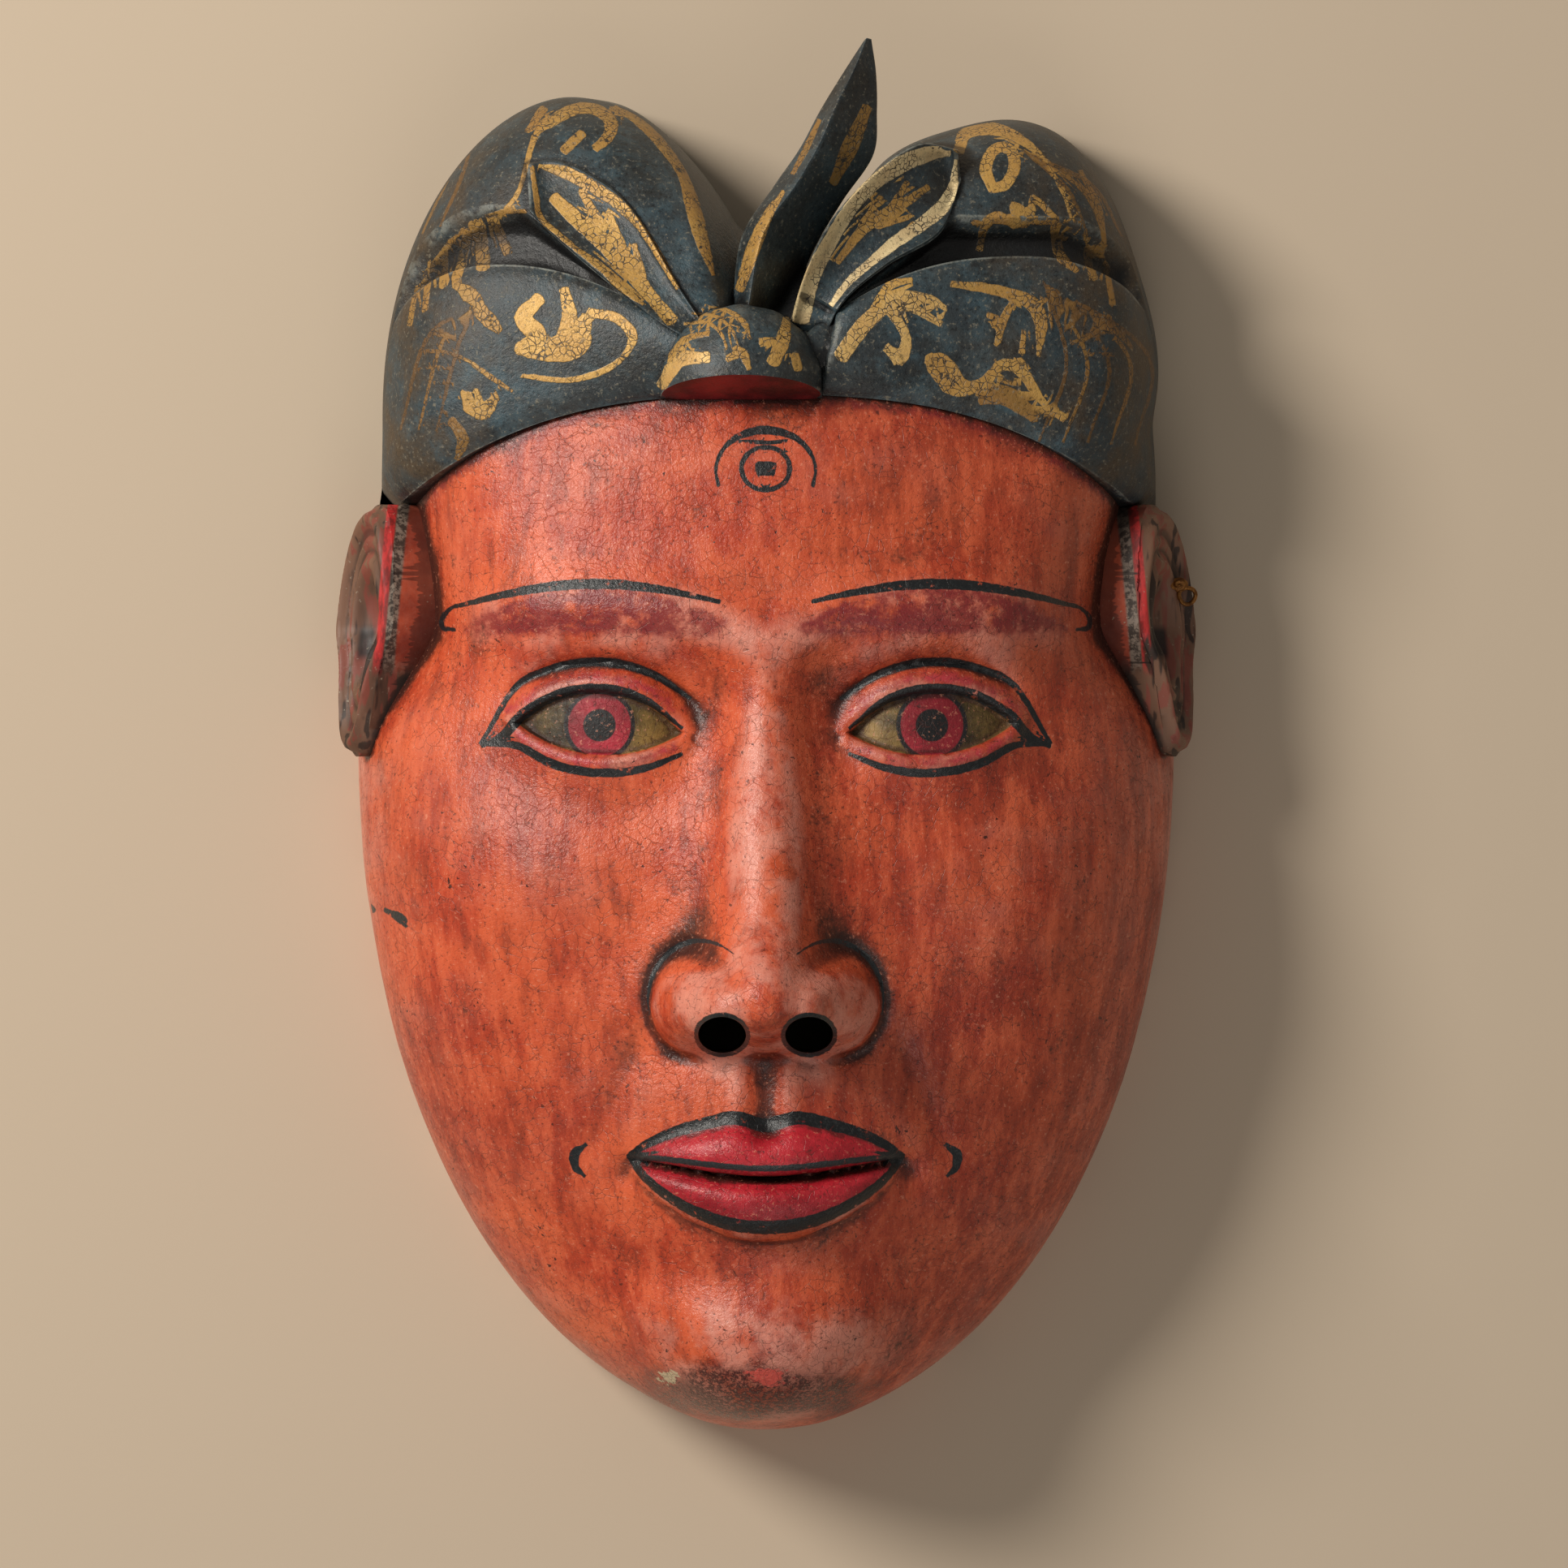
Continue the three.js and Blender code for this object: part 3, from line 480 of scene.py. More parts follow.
HORN_LEFT = ((-6.6, 74), (-5.2, 88.5), (0.6, 98), (5.4, 104.8), (9.4, 112), (13.8, 119), (17.8, 124.8))
HORN_RIDGE = ((-3.5, 74), (-0.6, 89), (5.6, 98.5), (9.8, 106), (13, 113.4), (16, 119.4), (18.3, 125.2))
HORN_RIGHT = ((4, 74), (9, 86), (14.5, 95.5), (20.2, 104), (20.7, 112), (20.3, 119.0), (19.2, 125.0))
HORN_BASE_Z, HORN_TIP_Z = 57.0, 43.0


def horn_rings(thickness, steps=64, count=56):
    """A pointed blade carried along three edge curves: its section is a rounded five-cornered
    form with the ridge in front, and it thins to the tip."""
    u = np.linspace(0, 1, steps)
    left, ridge, right = (even_curve(edge, u) for edge in (HORN_LEFT, HORN_RIDGE, HORN_RIGHT))
    front = mix(HORN_BASE_Z, HORN_TIP_Z, u**0.8)
    thick = thickness * (1 - u) ** 0.8 + 0.8
    corners = np.stack([
        np.column_stack([left, front - thick * 0.5]),
        np.column_stack([mix(ridge, left, 0.12), front - thick * 0.03]),
        np.column_stack([ridge, front]),
        np.column_stack([mix(ridge, right, 0.06), front - thick * 0.03]),
        np.column_stack([mix(ridge, right, 0.55), front - thick * 0.5]),
        np.column_stack([right, front - thick * 0.85]),
        np.column_stack([mix(left, right, 0.5), front - thick * 1.1]),
    ])
    corner = np.arange(len(corners) + 1)
    around = np.linspace(0, len(corners), count, endpoint=False)
    looped = np.concatenate([corners, corners[:1]]).reshape(len(corner), -1)
    section = np.stack([np.interp(around, corner, line) for line in looped.T], -1)
    for _ in range(3):
        section = (np.roll(section, 1, 0) + 2 * section + np.roll(section, -1, 0)) / 4
    return section.reshape(count, steps, 3).transpose(1, 0, 2)


# ---------------------------------------------------------------- ears
EAR_MIDDLE = (69.8, 18.5, 23.0)
EAR_HALF_WIDTH, EAR_UP, EAR_DOWN, EAR_SLANT, EAR_LEAN = 10.6, 22.5, 23.5, 0.40, 0.09


def ear_sheet(side, count=62):
    """A disc laid against the head: rim, groove, inner fold, bowl and lobe as rings of relief."""
    stations = crowded(count, [])
    angle, share = disc(*np.meshgrid(stations, stations))
    rise = math.sqrt(1 - EAR_SLANT**2)
    middle = np.array([side * EAR_MIDDLE[0], EAR_MIDDLE[1], EAR_MIDDLE[2]])
    back = np.array([side * EAR_SLANT, 0, -rise])
    out = np.array([side * rise, 0, EAR_SLANT])
    front_side = ramp(0.35, 1, -np.cos(angle))
    taper = 1 - 0.34 * ramp(0.1, -1, np.sin(angle))
    reach = oval_reach(angle, EAR_HALF_WIDTH * taper, EAR_UP, EAR_DOWN, 2.2)
    rim = 2.6 * hill(share - 0.86, 0.10) * (1 - front_side)
    second = 1.2 * hill(share - 0.68, 0.05) * (1 - front_side)
    fold = 1.9 * hill(share - 0.5, 0.10) * (1 - 0.6 * front_side)
    strip = 1.2 * hill(share - 0.84, 0.12) * front_side
    bowl = -3.4 * hill(share, 0.36)
    edge = -1.2 * hill(share - 0.95, 0.03)
    relief = 3 + rim + second + fold + strip + bowl + edge
    relief = np.where(share > 0.985, -7.0, relief)
    flat = np.minimum(1, share / 0.965) * reach
    upward = np.array([-side * EAR_LEAN, 1.0, 0])
    sheet = middle + flat[..., None] * (np.cos(angle)[..., None] * back + np.sin(angle)[..., None] * upward)
    return sheet + relief[..., None] * out, middle - 16 * out


# ---------------------------------------------------------------- head, hollow and nostrils
def head_sheet(columns, rows):
    """The dome with the face carved on it; stations crowd at the eyes, nose and mouth."""
    a = crowded(columns, [(0.0, 0.42, 1.0)])
    b = crowded(rows, [(0.0, 0.10, 1.2), (-0.42, 0.22, 0.9)], thinned=0.50)
    angle, share = disc(*np.meshgrid(a, b))
    inner = oval_reach(angle, 72, 104, -CHIN_Y)
    distance = np.sin(share * np.pi / 2) * mix(inner, head_reach(angle), ramp(0.5, 1, share))
    x, y = distance * np.cos(angle), distance * np.sin(angle)
    hand = 0.22 * unevenness(x, y, 0 * x, 34, 3) + 0.07 * unevenness(x, y, 0 * x, 9, 4)
    relief = (face_relief(x, y) + hand) * ramp(1, 0.86, share) - 1.5 * gap_depth(x, y)
    sheet = dome_point(x, y, relief)
    sheet[..., 2] = np.where(share > 0.9999, 0, sheet[..., 2])
    return sheet


HOLLOW_UP, HOLLOW_DOWN = 76.0, 114.0


def hollow_sheet(count, wall):
    """A smaller dome to cut away: its height is the cosine of the way out to a power, with shallow
    gouge strokes in staggered rows and a pocket for the nose."""
    stations = crowded(count, [])
    angle, share = disc(*np.meshgrid(stations, stations))
    reach = oval_reach(angle, FACE_WIDTH / 2 - wall - 1.5, HOLLOW_UP, HOLLOW_DOWN, 2.06)
    fullness = np.sin(share * np.pi / 2)
    x, y = fullness * reach * np.cos(angle), fullness * reach * np.sin(angle)
    nose = 9 * hill(np.hypot(x / 11, (y - NOSE_Y - 14) / 24), 1) * (1 - share)
    z = (CROWN_DEPTH - wall - 2) * np.cos(share * np.pi / 2) ** 0.62 + nose
    lane = x / 6.5 + 0.35 * unevenness(x, y, 0 * x, 50, 8)
    stroke = y / 26.0 + 0.37 * np.floor(lane) + 0.2 * unevenness(x, y, 0 * x, 60, 9)
    gouge = 0.9 * np.abs(np.sin(np.pi * lane)) ** 0.7 + 0.4 * (stroke - np.floor(stroke))
    z = z - (1.1 - gouge) * ramp(1.0, 0.9, share)
    return np.stack([x, y, np.where(share > 0.9999, -1.0, z)], -1)


NOSTRIL_X, NOSTRIL_Y = 7.8, NOSE_Y - 0.6
NOSTRIL_HALF = (4.3, 3.4)


def nostril_rings(side, count=40):
    """An oval tunnel straight through the base of the nose into the hollow."""
    turn = side * np.linspace(0, 2 * np.pi, count, endpoint=False)[None]
    z = np.array([34.0, 95.0])[:, None]
    x = side * NOSTRIL_X + NOSTRIL_HALF[0] * np.cos(turn) + 0 * z
    y = NOSTRIL_Y + NOSTRIL_HALF[1] * np.sin(turn) + 0 * z
    return np.stack([x, y, z + 0 * x], -1)


# ---------------------------------------------------------------- meshes from arrays
def closed_object(name, points, quads, triangles, material):
    """A closed mesh with its faces outward, from points in millimetres."""
    corners = np.concatenate([triangles, quads[:, [0, 1, 2]], quads[:, [0, 2, 3]]])
    a, b, c = (points[corners[:, i]] for i in range(3))
    if np.einsum("ij,ij->i", a, np.cross(b, c)).sum() < 0:
        quads, triangles = quads[:, ::-1], triangles[:, ::-1]
    mesh = bpy.data.meshes.new(name)
    mesh.from_pydata((points * MM).tolist(), [], quads.tolist() + triangles.tolist())
    shape = bmesh.new()
    shape.from_mesh(mesh)
    bmesh.ops.remove_doubles(shape, verts=shape.verts, dist=1e-7)
    bmesh.ops.dissolve_degenerate(shape, edges=shape.edges, dist=1e-7)
    shape.to_mesh(mesh)
    shape.free()
    mesh.materials.append(material)
    solid = bpy.data.objects.new(name, mesh)
    bpy.context.scene.collection.objects.link(solid)
    return solid


def grid_quads(rows, columns, closed_around):
    """Four-sided faces between neighbouring points of a grid, numbered row by row."""
    index = np.arange(rows * columns).reshape(rows, columns)
    if closed_around:
        index = np.concatenate([index, index[:, :1]], axis=1)
    return np.stack([index[:-1, :-1], index[:-1, 1:], index[1:, 1:], index[1:, :-1]], -1).reshape(-1, 4)


def sheet_solid(name, sheet, apex, material):
    """A sheet of points with its whole border drawn in to one point behind it."""
    rows, columns = sheet.shape[:2]
    index = np.arange(rows * columns).reshape(rows, columns)
    border = np.concatenate([index[0], index[1:, -1], index[-1, -2::-1], index[-2:0:-1, 0]])
    fan = np.stack([np.roll(border, -1), border, np.full_like(border, rows * columns)], -1)
    points = np.vstack([sheet.reshape(-1, 3), np.asarray(apex, float)[None]])
    return closed_object(name, points, grid_quads(rows, columns, False), fan, material)


def ring_solid(name, rings, material):
    """Rings of points one after another, closed round, with both ends drawn in to their middles."""
    rows, count = rings.shape[:2]
    points = np.vstack([rings.reshape(-1, 3), rings[0].mean(0)[None], rings[-1].mean(0)[None]])
    here = np.arange(count)
    after = np.roll(here, -1)
    last = (rows - 1) * count
    first_end = np.stack([after, here, np.full(count, rows * count)], -1)
    last_end = np.stack([last + here, last + after, np.full(count, rows * count + 1)], -1)
    ends = np.vstack([first_end, last_end])
    return closed_object(name, points, grid_quads(rows, count, True), ends, material)


def carved_together(base, added, cut):
    """Joins and cuts closed solids into one mesh, keeping the material of each surface."""
    for operation, tools in (("UNION", added), ("DIFFERENCE", cut)):
        for tool in tools:
            change = base.modifiers.new(tool.name, "BOOLEAN")
            change.operation = operation
            change.solver = "MANIFOLD"
            change.material_mode = "TRANSFER"
            change.object = tool
    evaluated = base.evaluated_get(bpy.context.evaluated_depsgraph_get())
    mesh = bpy.data.meshes.new_from_object(evaluated)
    for tool in [base, *added, *cut]:
        bpy.data.objects.remove(tool)
    if not mesh.polygons:
        raise RuntimeError("the solids didn't join into one piece")
    return mesh


# ---------------------------------------------------------------- brush strokes
# A stroke is a tone from 0, dull, to 1, bright, then its places: x, y and half width.
GOLD_LEFT_LOBE = (
    (0.55, (-52, 91.7, 0.3), (-45.4, 96.3, 0.4), (-42, 107.6, 0.6), (-38.7, 110.7, 1.1), (-34.5, 113.0, 1.2),
     (-30.7, 112.8, 1.2), (-28.2, 110.5, 1.2), (-28.6, 107.6, 1.1), (-30.3, 105.9, 0.8)),
    (0.5, (-36, 105.5, 0.9), (-34, 107.5, 0.9)),
    (0.35, (-43, 109.3, 0.5), (-41, 112.4, 0.9)),
    (0.5, (-27, 113.2, 0.5), (-22.8, 110.4, 0.9), (-18.8, 106.2, 1.0), (-15.2, 100.8, 0.9),
     (-13.2, 94.6, 1.4), (-11.4, 87.9, 1.2), (-9.6, 82.5, 0.3)),
)
GOLD_LEFT_LEAF = (
    (0.75, (-40.4, 101.9, 0.4), (-36.6, 100.9, 1.1), (-31.4, 98.2, 1.1), (-26.6, 94.8, 1.0),
     (-22.6, 90.6, 0.7), (-19.4, 85.6, 0.7), (-16.2, 80.0, 0.4)),
    (0.65, (-42.3, 101.2, 0.4), (-41.6, 96.6, 0.5), (-40.8, 92.6, 0.5), (-37.2, 89.2, 0.5),
     (-33.9, 86.4, 0.5), (-29.6, 83.2, 0.8), (-26, 79.8, 0.9), (-22.6, 76.9, 0.3)),
    (0.8, (-37.7, 95.5, 1.1), (-34, 92, 1.4), (-29.4, 88, 1.6), (-24.9, 83.4, 1.7), (-21.4, 78.8, 1.2),
     (-17.6, 74.3, 1.2)),
    (0.8, (-33.2, 97, 0.6), (-29.9, 91.3, 1.0)),
    (0.8, (-28.2, 93, 0.5), (-26.1, 87.1, 1.0)),
    (0.7, (-23.6, 86.7, 0.5), (-22.4, 81.7, 0.9)),
)
GOLD_LEFT_FOLD = (
    (0.45, (-52, 91.0, 1.2), (-51.3, 84.6, 1.3)),
    (0.45, (-48.7, 91.0, 0.8), (-47.1, 87.2, 0.9)),
    (0.4, (-54.1, 90.0, 0.8), (-55.9, 82.1, 0.9)),
    (0.35, (-58.3, 87.0, 0.6), (-58.6, 80.8, 0.6)),
    (0.3, (-61.1, 84.4, 0.6), (-61.7, 76.6, 0.6)),
    (0.3, (-63.5, 80.6, 0.5), (-64.5, 74, 0.5)),
)
GOLD_LEFT_BAND = (
    (0.8, (-41.6, 77, 1.2), (-43.9, 74.1, 1.6), (-41.0, 71.4, 1.2), (-44, 68.6, 1.1), (-37.8, 67.9, 1.7),
     (-33.9, 69.3, 2.0), (-32.8, 73.0, 1.3)),
    (0.8, (-36.2, 78.4, 0.9), (-35.4, 74.4, 1.4), (-36.4, 70.4, 1.5)),
    (0.8, (-31.1, 75, 0.8), (-27, 74.1, 0.9), (-24, 70.8, 0.9), (-25.7, 67, 0.5), (-30.3, 64.1, 0.6),
     (-36.6, 62.9, 0.5), (-43.7, 63.7, 0.4)),
    (0.55, (-54.4, 60.4, 0.6), (-53.6, 58.2, 1.1), (-51, 57.2, 1.3), (-49.2, 59.4, 0.8)),
    (0.55, (-52.2, 60.6, 0.5), (-51.6, 58.4, 0.8)),
    (0.4, (-54.2, 66.8, 0.3), (-50, 63.8, 0.5), (-46.2, 61.2, 0.3)),
    (0.35, (-55.6, 80.0, 0.7), (-53.4, 78.4, 1.4), (-51.8, 77, 0.6)),
    (0.4, (-52.4, 75.6, 0.7), (-50.2, 74.1, 1.4), (-48.6, 72.4, 0.6)),
    (0.15, (-56.4, 55.2, 0.8), (-54.8, 52.4, 1.1), (-55.6, 49.6, 0.6)),
)
GOLD_KNOB = (
    (0.5, (-17.2, 66.8, 0.6), (-14.5, 70, 0.6), (-10.7, 70.9, 0.5)),
    (0.85, (-18.2, 62.6, 1.1), (-15.6, 66.2, 1.4), (-11.3, 66.6, 1.0)),
    (0.6, (-14.0, 73.0, 0.25), (-10.6, 73.0, 0.35), (-8.1, 71.0, 0.3), (-7.0, 68.4, 0.2)),
    (0.6, (-12.6, 74.8, 0.25), (-9.0, 74.2, 0.35), (-6.2, 71.8, 0.3), (-5.2, 69.4, 0.2)),
    (0.6, (-10.4, 76.2, 0.2), (-6.8, 75.2, 0.4), (-4.0, 73.0, 0.6), (-3.0, 70.6, 0.3)),
    (0.8, (3.7, 73.2, 0.7), (3.2, 70, 1.3), (1.8, 66.6, 1.2)),
    (0.7, (3.2, 69.8, 0.5), (0, 69.4, 0.8)),
    (0.75, (5.5, 66.2, 0.8), (5.7, 65.4, 0.8)),
    (0.5, (-6.2, 66.6, 0.6), (-4.2, 67.4, 0.9), (-3.2, 65.2, 0.5)),
)
GOLD_HORN = (
    (0.55, (-4.4, 80.2, 0.9), (-2.4, 86.2, 1.3), (0.2, 92.4, 1.0), (2.8, 96.5, 0.4)),
    (0.2, (5.2, 101.0, 0.4), (7.4, 105.2, 0.6), (9.4, 109.6, 0.4)),
    (0.3, (12.6, 99.7, 0.8), (15.4, 105.6, 1.5), (18.0, 111.8, 0.9)),
)
GOLD_RIGHT_LEAF = (
    (1.0, (6.6, 75.1, 1.7), (8.2, 81.1, 1.5), (11.4, 87.4, 1.3), (15.2, 93.7, 1.2), (19.4, 98.4, 1.3),
     (24.6, 102.0, 1.5), (29.6, 104.1, 1.3), (32.5, 104.2, 0.5)),
    (1.0, (34.4, 102.4, 0.3), (33.9, 98.2, 0.9), (31.9, 94.4, 1.3), (27.9, 91.0, 1.2), (23.2, 87.7, 1.1),
     (18.8, 84.0, 0.8), (15.0, 80.6, 0.7), (12.2, 77, 0.5)),
    (0.45, (13.4, 84.8, 0.6), (17.9, 90.4, 1.0), (22.9, 93.6, 1.1), (28.8, 97.6, 0.6)),
    (0.45, (17.6, 91.2, 0.7), (20.4, 95.4, 0.5)),
    (0.45, (22.4, 93.6, 0.7), (25.2, 98.2, 0.5)),
    (0.45, (20.6, 90.8, 0.6), (25.6, 92.4, 0.5)),
)
GOLD_RIGHT_LOBE = (
    (0.7, (35.3, 105.7, 1.0), (36.3, 108.5, 1.2), (39.8, 109.6, 1.5), (43.4, 108.9, 1.2), (46.6, 107.1, 0.9),
     (50.3, 103.9, 0.5), (53.9, 97.5, 0.3), (55.3, 93, 0.25)),
    (0.75, (41.0, 98.2, 0.9), (39.9, 101.6, 1.1), (41.4, 105.2, 1.0), (44.1, 105.6, 1.0), (45.2, 102.4, 1.1),
     (43.6, 98.8, 1.0), (41.4, 98.0, 0.9)),
    (0.5, (38.9, 87.6, 0.6), (39.8, 91.6, 0.8), (42.5, 93, 0.7), (45.4, 91.2, 0.7), (45.0, 94.8, 0.7),
     (48, 93.2, 0.7), (48.6, 96.2, 0.6), (52.1, 93, 0.6)),
    (0.3, (57.6, 101.0, 0.5), (60.4, 95.0, 0.7), (61.6, 88.6, 0.4)),
)
GOLD_RIGHT_FOLD = (
    (0.4, (52.6, 89.4, 0.8), (53.6, 85.6, 1.1), (55.8, 83.4, 0.6)),
    (0.35, (58.0, 87.4, 0.5), (59.2, 82.4, 0.8)),
    (0.3, (62.0, 82.8, 0.5), (62.8, 77.6, 0.6)),
)
GOLD_RIGHT_BAND = (
    (0.85, (14.2, 67.9, 1.4), (17.4, 72.4, 1.5), (22, 76.5, 1.3), (25.2, 77.9, 1.1), (29.8, 77.4, 0.8),
     (32, 76.1, 0.5)),
    (0.85, (23.8, 76.4, 0.9), (27, 75.6, 0.8), (31.1, 73.3, 0.6)),
    (0.85, (22.8, 75.0, 1.0), (24.4, 72.6, 0.9), (25.4, 69.9, 0.9), (24.3, 66.9, 1.3), (22.4, 68.2, 0.8)),
    (0.8, (19.8, 76.0, 0.8), (22.4, 80.0, 0.8), (25.6, 80.8, 0.5)),
    (0.5, (34.3, 80.2, 0.6), (38.9, 79.7, 0.9), (43.4, 78.8, 1.0), (48, 77, 1.3), (49.8, 73.3, 1.2),
     (49.3, 67.9, 0.4)),
    (0.5, (44.8, 77.5, 0.4), (42.9, 73.8, 0.8), (42, 70.1, 0.6)),
    (0.5, (42.9, 73.8, 0.6), (40.4, 74.6, 0.5)),
    (0.5, (46.6, 71.4, 0.4), (46.3, 68.4, 0.6)),
    (0.6, (30.2, 66.2, 1.2), (32.2, 64.6, 2.4), (34.0, 62.2, 2.0), (36.6, 61.5, 1.2), (39.8, 62.8, 1.0),
     (42.5, 65.6, 1.0), (45.7, 65.1, 1.1), (48.4, 61.5, 0.9), (50.7, 58.3, 0.6), (53.5, 56.5, 0.8)),
    (0.2, (39.8, 59.6, 1.0), (43.4, 60.1, 1.8), (48, 56.9, 1.2)),
)


HAIRLINES = (  # start, outer lines' middles, outer lines' ends, how many, tone
    ((50.4, 80.6), ((54.4, 66), (69.6, 68)), ((49.6, 52.5), (67.2, 52)), 5, 0.04),
    ((47.5, 104.5), ((54.8, 98), (59.5, 99)), ((58.2, 90.5), (64.6, 90.5)), 3, 0.1),
    ((-51.5, 76.5), ((-61.2, 71), (-55.4, 70)), ((-66.2, 55), (-59.6, 54)), 3, 0.02),
    ((-54, 110), ((-60, 102), (-55, 102)), ((-66, 90), (-59, 92)), 3, 0.05),
)


def hairline_fan(start, middles, ends, count, tone):
    """Fine curved lines that leave one place and spread out between two outer lines."""
    strokes = []
    for share in np.linspace(0, 1, count):
        middle = mix(np.array(middles[0]), np.array(middles[1]), share)
        end = mix(np.array(ends[0]), np.array(ends[1]), share)
        places = even_curve((start, middle, end), np.linspace(0, 1, 12))
        widths = 0.18 + 0.2 * np.sin(np.linspace(0.2, 3, 12))
        strokes.append((tone + 0.12 * (share * (count - 1) % 2), *zip(places[:, 0], places[:, 1], widths)))
    return strokes


def curve_strokes(rule, start, end, half_width, tone, count=26):
    """A stroke of even width along y = rule(x)."""
    x = np.linspace(start, end, count)
    return [(tone, *((px, py, half_width) for px, py in zip(x, rule(x))))]


def oval_stroke(tone, middle, half, turn, half_width):
    """A stroke round part of an oval, through the given turns."""
    x, y = middle[0] + half[0] * np.cos(turn), middle[1] + half[1] * np.sin(turn)
    return (tone, *zip(x, y, half_width + 0 * turn))


def gold_strokes():
    """All the gold: leafwork on the lobes, leaves, folds and band, and hairlines at the sides."""
    strokes = [*GOLD_LEFT_LOBE, *GOLD_LEFT_LEAF, *GOLD_LEFT_FOLD, *GOLD_LEFT_BAND, *GOLD_KNOB, *GOLD_HORN]
    strokes += [*GOLD_RIGHT_LEAF, *GOLD_RIGHT_LOBE, *GOLD_RIGHT_FOLD, *GOLD_RIGHT_BAND]
    for fan in HAIRLINES:
        strokes += hairline_fan(*fan)
    for start, end in ((-62, -44), (38, 62)):
        strokes += curve_strokes(lambda x: fold_ridge(x) + 1.2, start, end, 0.35, 0.3)
    return strokes


def on_both_eyes(tone, *places):
    """The same stroke at each eye, from places across and up from the eye's middle."""
    strokes = []
    for side in (-1, 1):
        turned = []
        for across, up, half_width in places:
            x = across * math.cos(EYE_TILT) - up * math.sin(EYE_TILT) + EYE_WIDTH
            y = across * math.sin(EYE_TILT) + up * math.cos(EYE_TILT) + EYE_Y
            turned.append((side * x, y, half_width))
        strokes.append((tone, *turned))
    return strokes


def lid_arc(which, away, start, end, half_widths):
    """Places along a lid's arc, a little way outside it, from one place across to another."""
    middle, radius = EYE_ARCS[which]
    across = np.linspace(start, end, len(half_widths))
    up = middle + np.sign(-middle) * np.sqrt((radius + away) ** 2 - across**2)
    return tuple(zip(across, up, half_widths))


def ink_strokes():
    """Black lines of the face: lids, brows, lips, nostrils and the small marks."""
    strokes = on_both_eyes(0.2, *lid_arc(0, 0.6, -14.4, 14.0, (0.3, 0.7, 0.9, 0.9, 0.9, 1.0)),
                           (17.2, -2.2, 0.9), (20.6, -4.2, 0.35))
    strokes += on_both_eyes(0.2, *lid_arc(1, 3.2, -14.6, 14.6, (0.4, 0.7, 0.8, 0.8, 0.8, 0.7)),
                            (20.4, -4.0, 0.4))
    strokes += on_both_eyes(0.2, *lid_arc(0, 5.4, -15.5, 15.5, (0.4, 0.7, 0.8, 0.8, 0.7, 0.6)),
                            (21.0, -3.4, 0.4))
    for side in (-1, 1):
        x = np.linspace(9, 57, 20)
        width = 0.35 + 0.6 * np.sin(np.linspace(0.1, np.pi, 20))
        end = brow_line(57) + 5.6
        curl = ((side * 58.8, end - 1.8, 0.5), (side * 58.6, end - 3.6, 0.5), (side * 57, end - 3.9, 0.35))
        strokes.append((0.2, *zip(side * x, brow_line(x) + 5.6, width), *curl))
        strokes.append((0.3, (side * 33.0, MOUTH_Y + 3.0, 0.4), (side * 34.6, MOUTH_Y + 1.6, 0.9),
                        (side * 34.4, MOUTH_Y - 0.8, 0.7), (side * 33.2, MOUTH_Y - 2.0, 0.3)))
        rim_middle = (side * NOSTRIL_X, NOSTRIL_Y)
        rim_half = (side * (NOSTRIL_HALF[0] + 0.3), NOSTRIL_HALF[1] + 0.3)
        strokes.append(oval_stroke(0.3, rim_middle, rim_half, np.linspace(0, 2 * np.pi, 21), 0.5))
        strokes.append(oval_stroke(0.5, (side * 11.6, NOSE_Y + 5.4), (side * 9.6, 10.8),
                                   np.linspace(-0.2, 2.2, 12), 0.5 * np.sin(np.linspace(0.2, 2.9, 12))))
    x = np.linspace(-LIP_HALF, LIP_HALF, 41)
    _, line, upper, lower = lip_places(x)
    width = mix(0.7, 1.25, np.abs(np.cos(x / LIP_HALF * np.pi / 2)))
    strokes.append((0.1, *zip(x, line + upper + 0.5, width)))
    strokes.append((0.1, *zip(x, line - lower - 0.5, width)))
    strokes.append((0.6, *zip(x, line, np.full_like(x, 0.55))))
    arch = np.linspace(-0.3, np.pi + 0.3, 14)
    strokes.append(oval_stroke(0.3, (0, 46.4), (9.0, 7.4), arch, 0.3 + 0.5 * np.sin(arch) ** 2))
    strokes.append(oval_stroke(0.3, (0, 46.8), (4.4, 3.9), np.linspace(0, 2 * np.pi, 22), 0.45))
    strokes.append((0.2, (-0.2, 46.8, 1.3), (0.2, 46.8, 1.3)))
    strokes.append((0.4, (-68.8, -33.2, 0.4), (-66.4, -34.4, 0.9), (-65.6, -35.4, 0.3)))
    strokes.append((0.4, (-73.6, -31.0, 0.25), (-72.2, -32.6, 0.6)))
    return strokes


def crimson_strokes():
    """Dark red: the sweep under each brow, the rims of the eyes and the edge under the cloth."""
    strokes = []
    for side in (-1, 1):
        x = np.linspace(8, 54, 16)
        width = 0.5 + 4.0 * np.sin(np.linspace(0.12, np.pi, 16)) ** 0.8
        strokes.append((0.2, *zip(side * x, brow_line(x) + 1.0, width)))
    strokes += on_both_eyes(0.9, *lid_arc(0, 2.6, -14, 16, (0.5, 0.7, 0.8, 0.8, 0.7, 0.6)))
    strokes += on_both_eyes(0.9, *lid_arc(1, 1.4, -13, 15, (0.4, 0.7, 0.8, 0.8, 0.7, 0.5)))
    strokes += curve_strokes(lambda x: cloth_edge(x) - 1.0, -64, 64, 0.75, 0.15, 40)
    return strokes


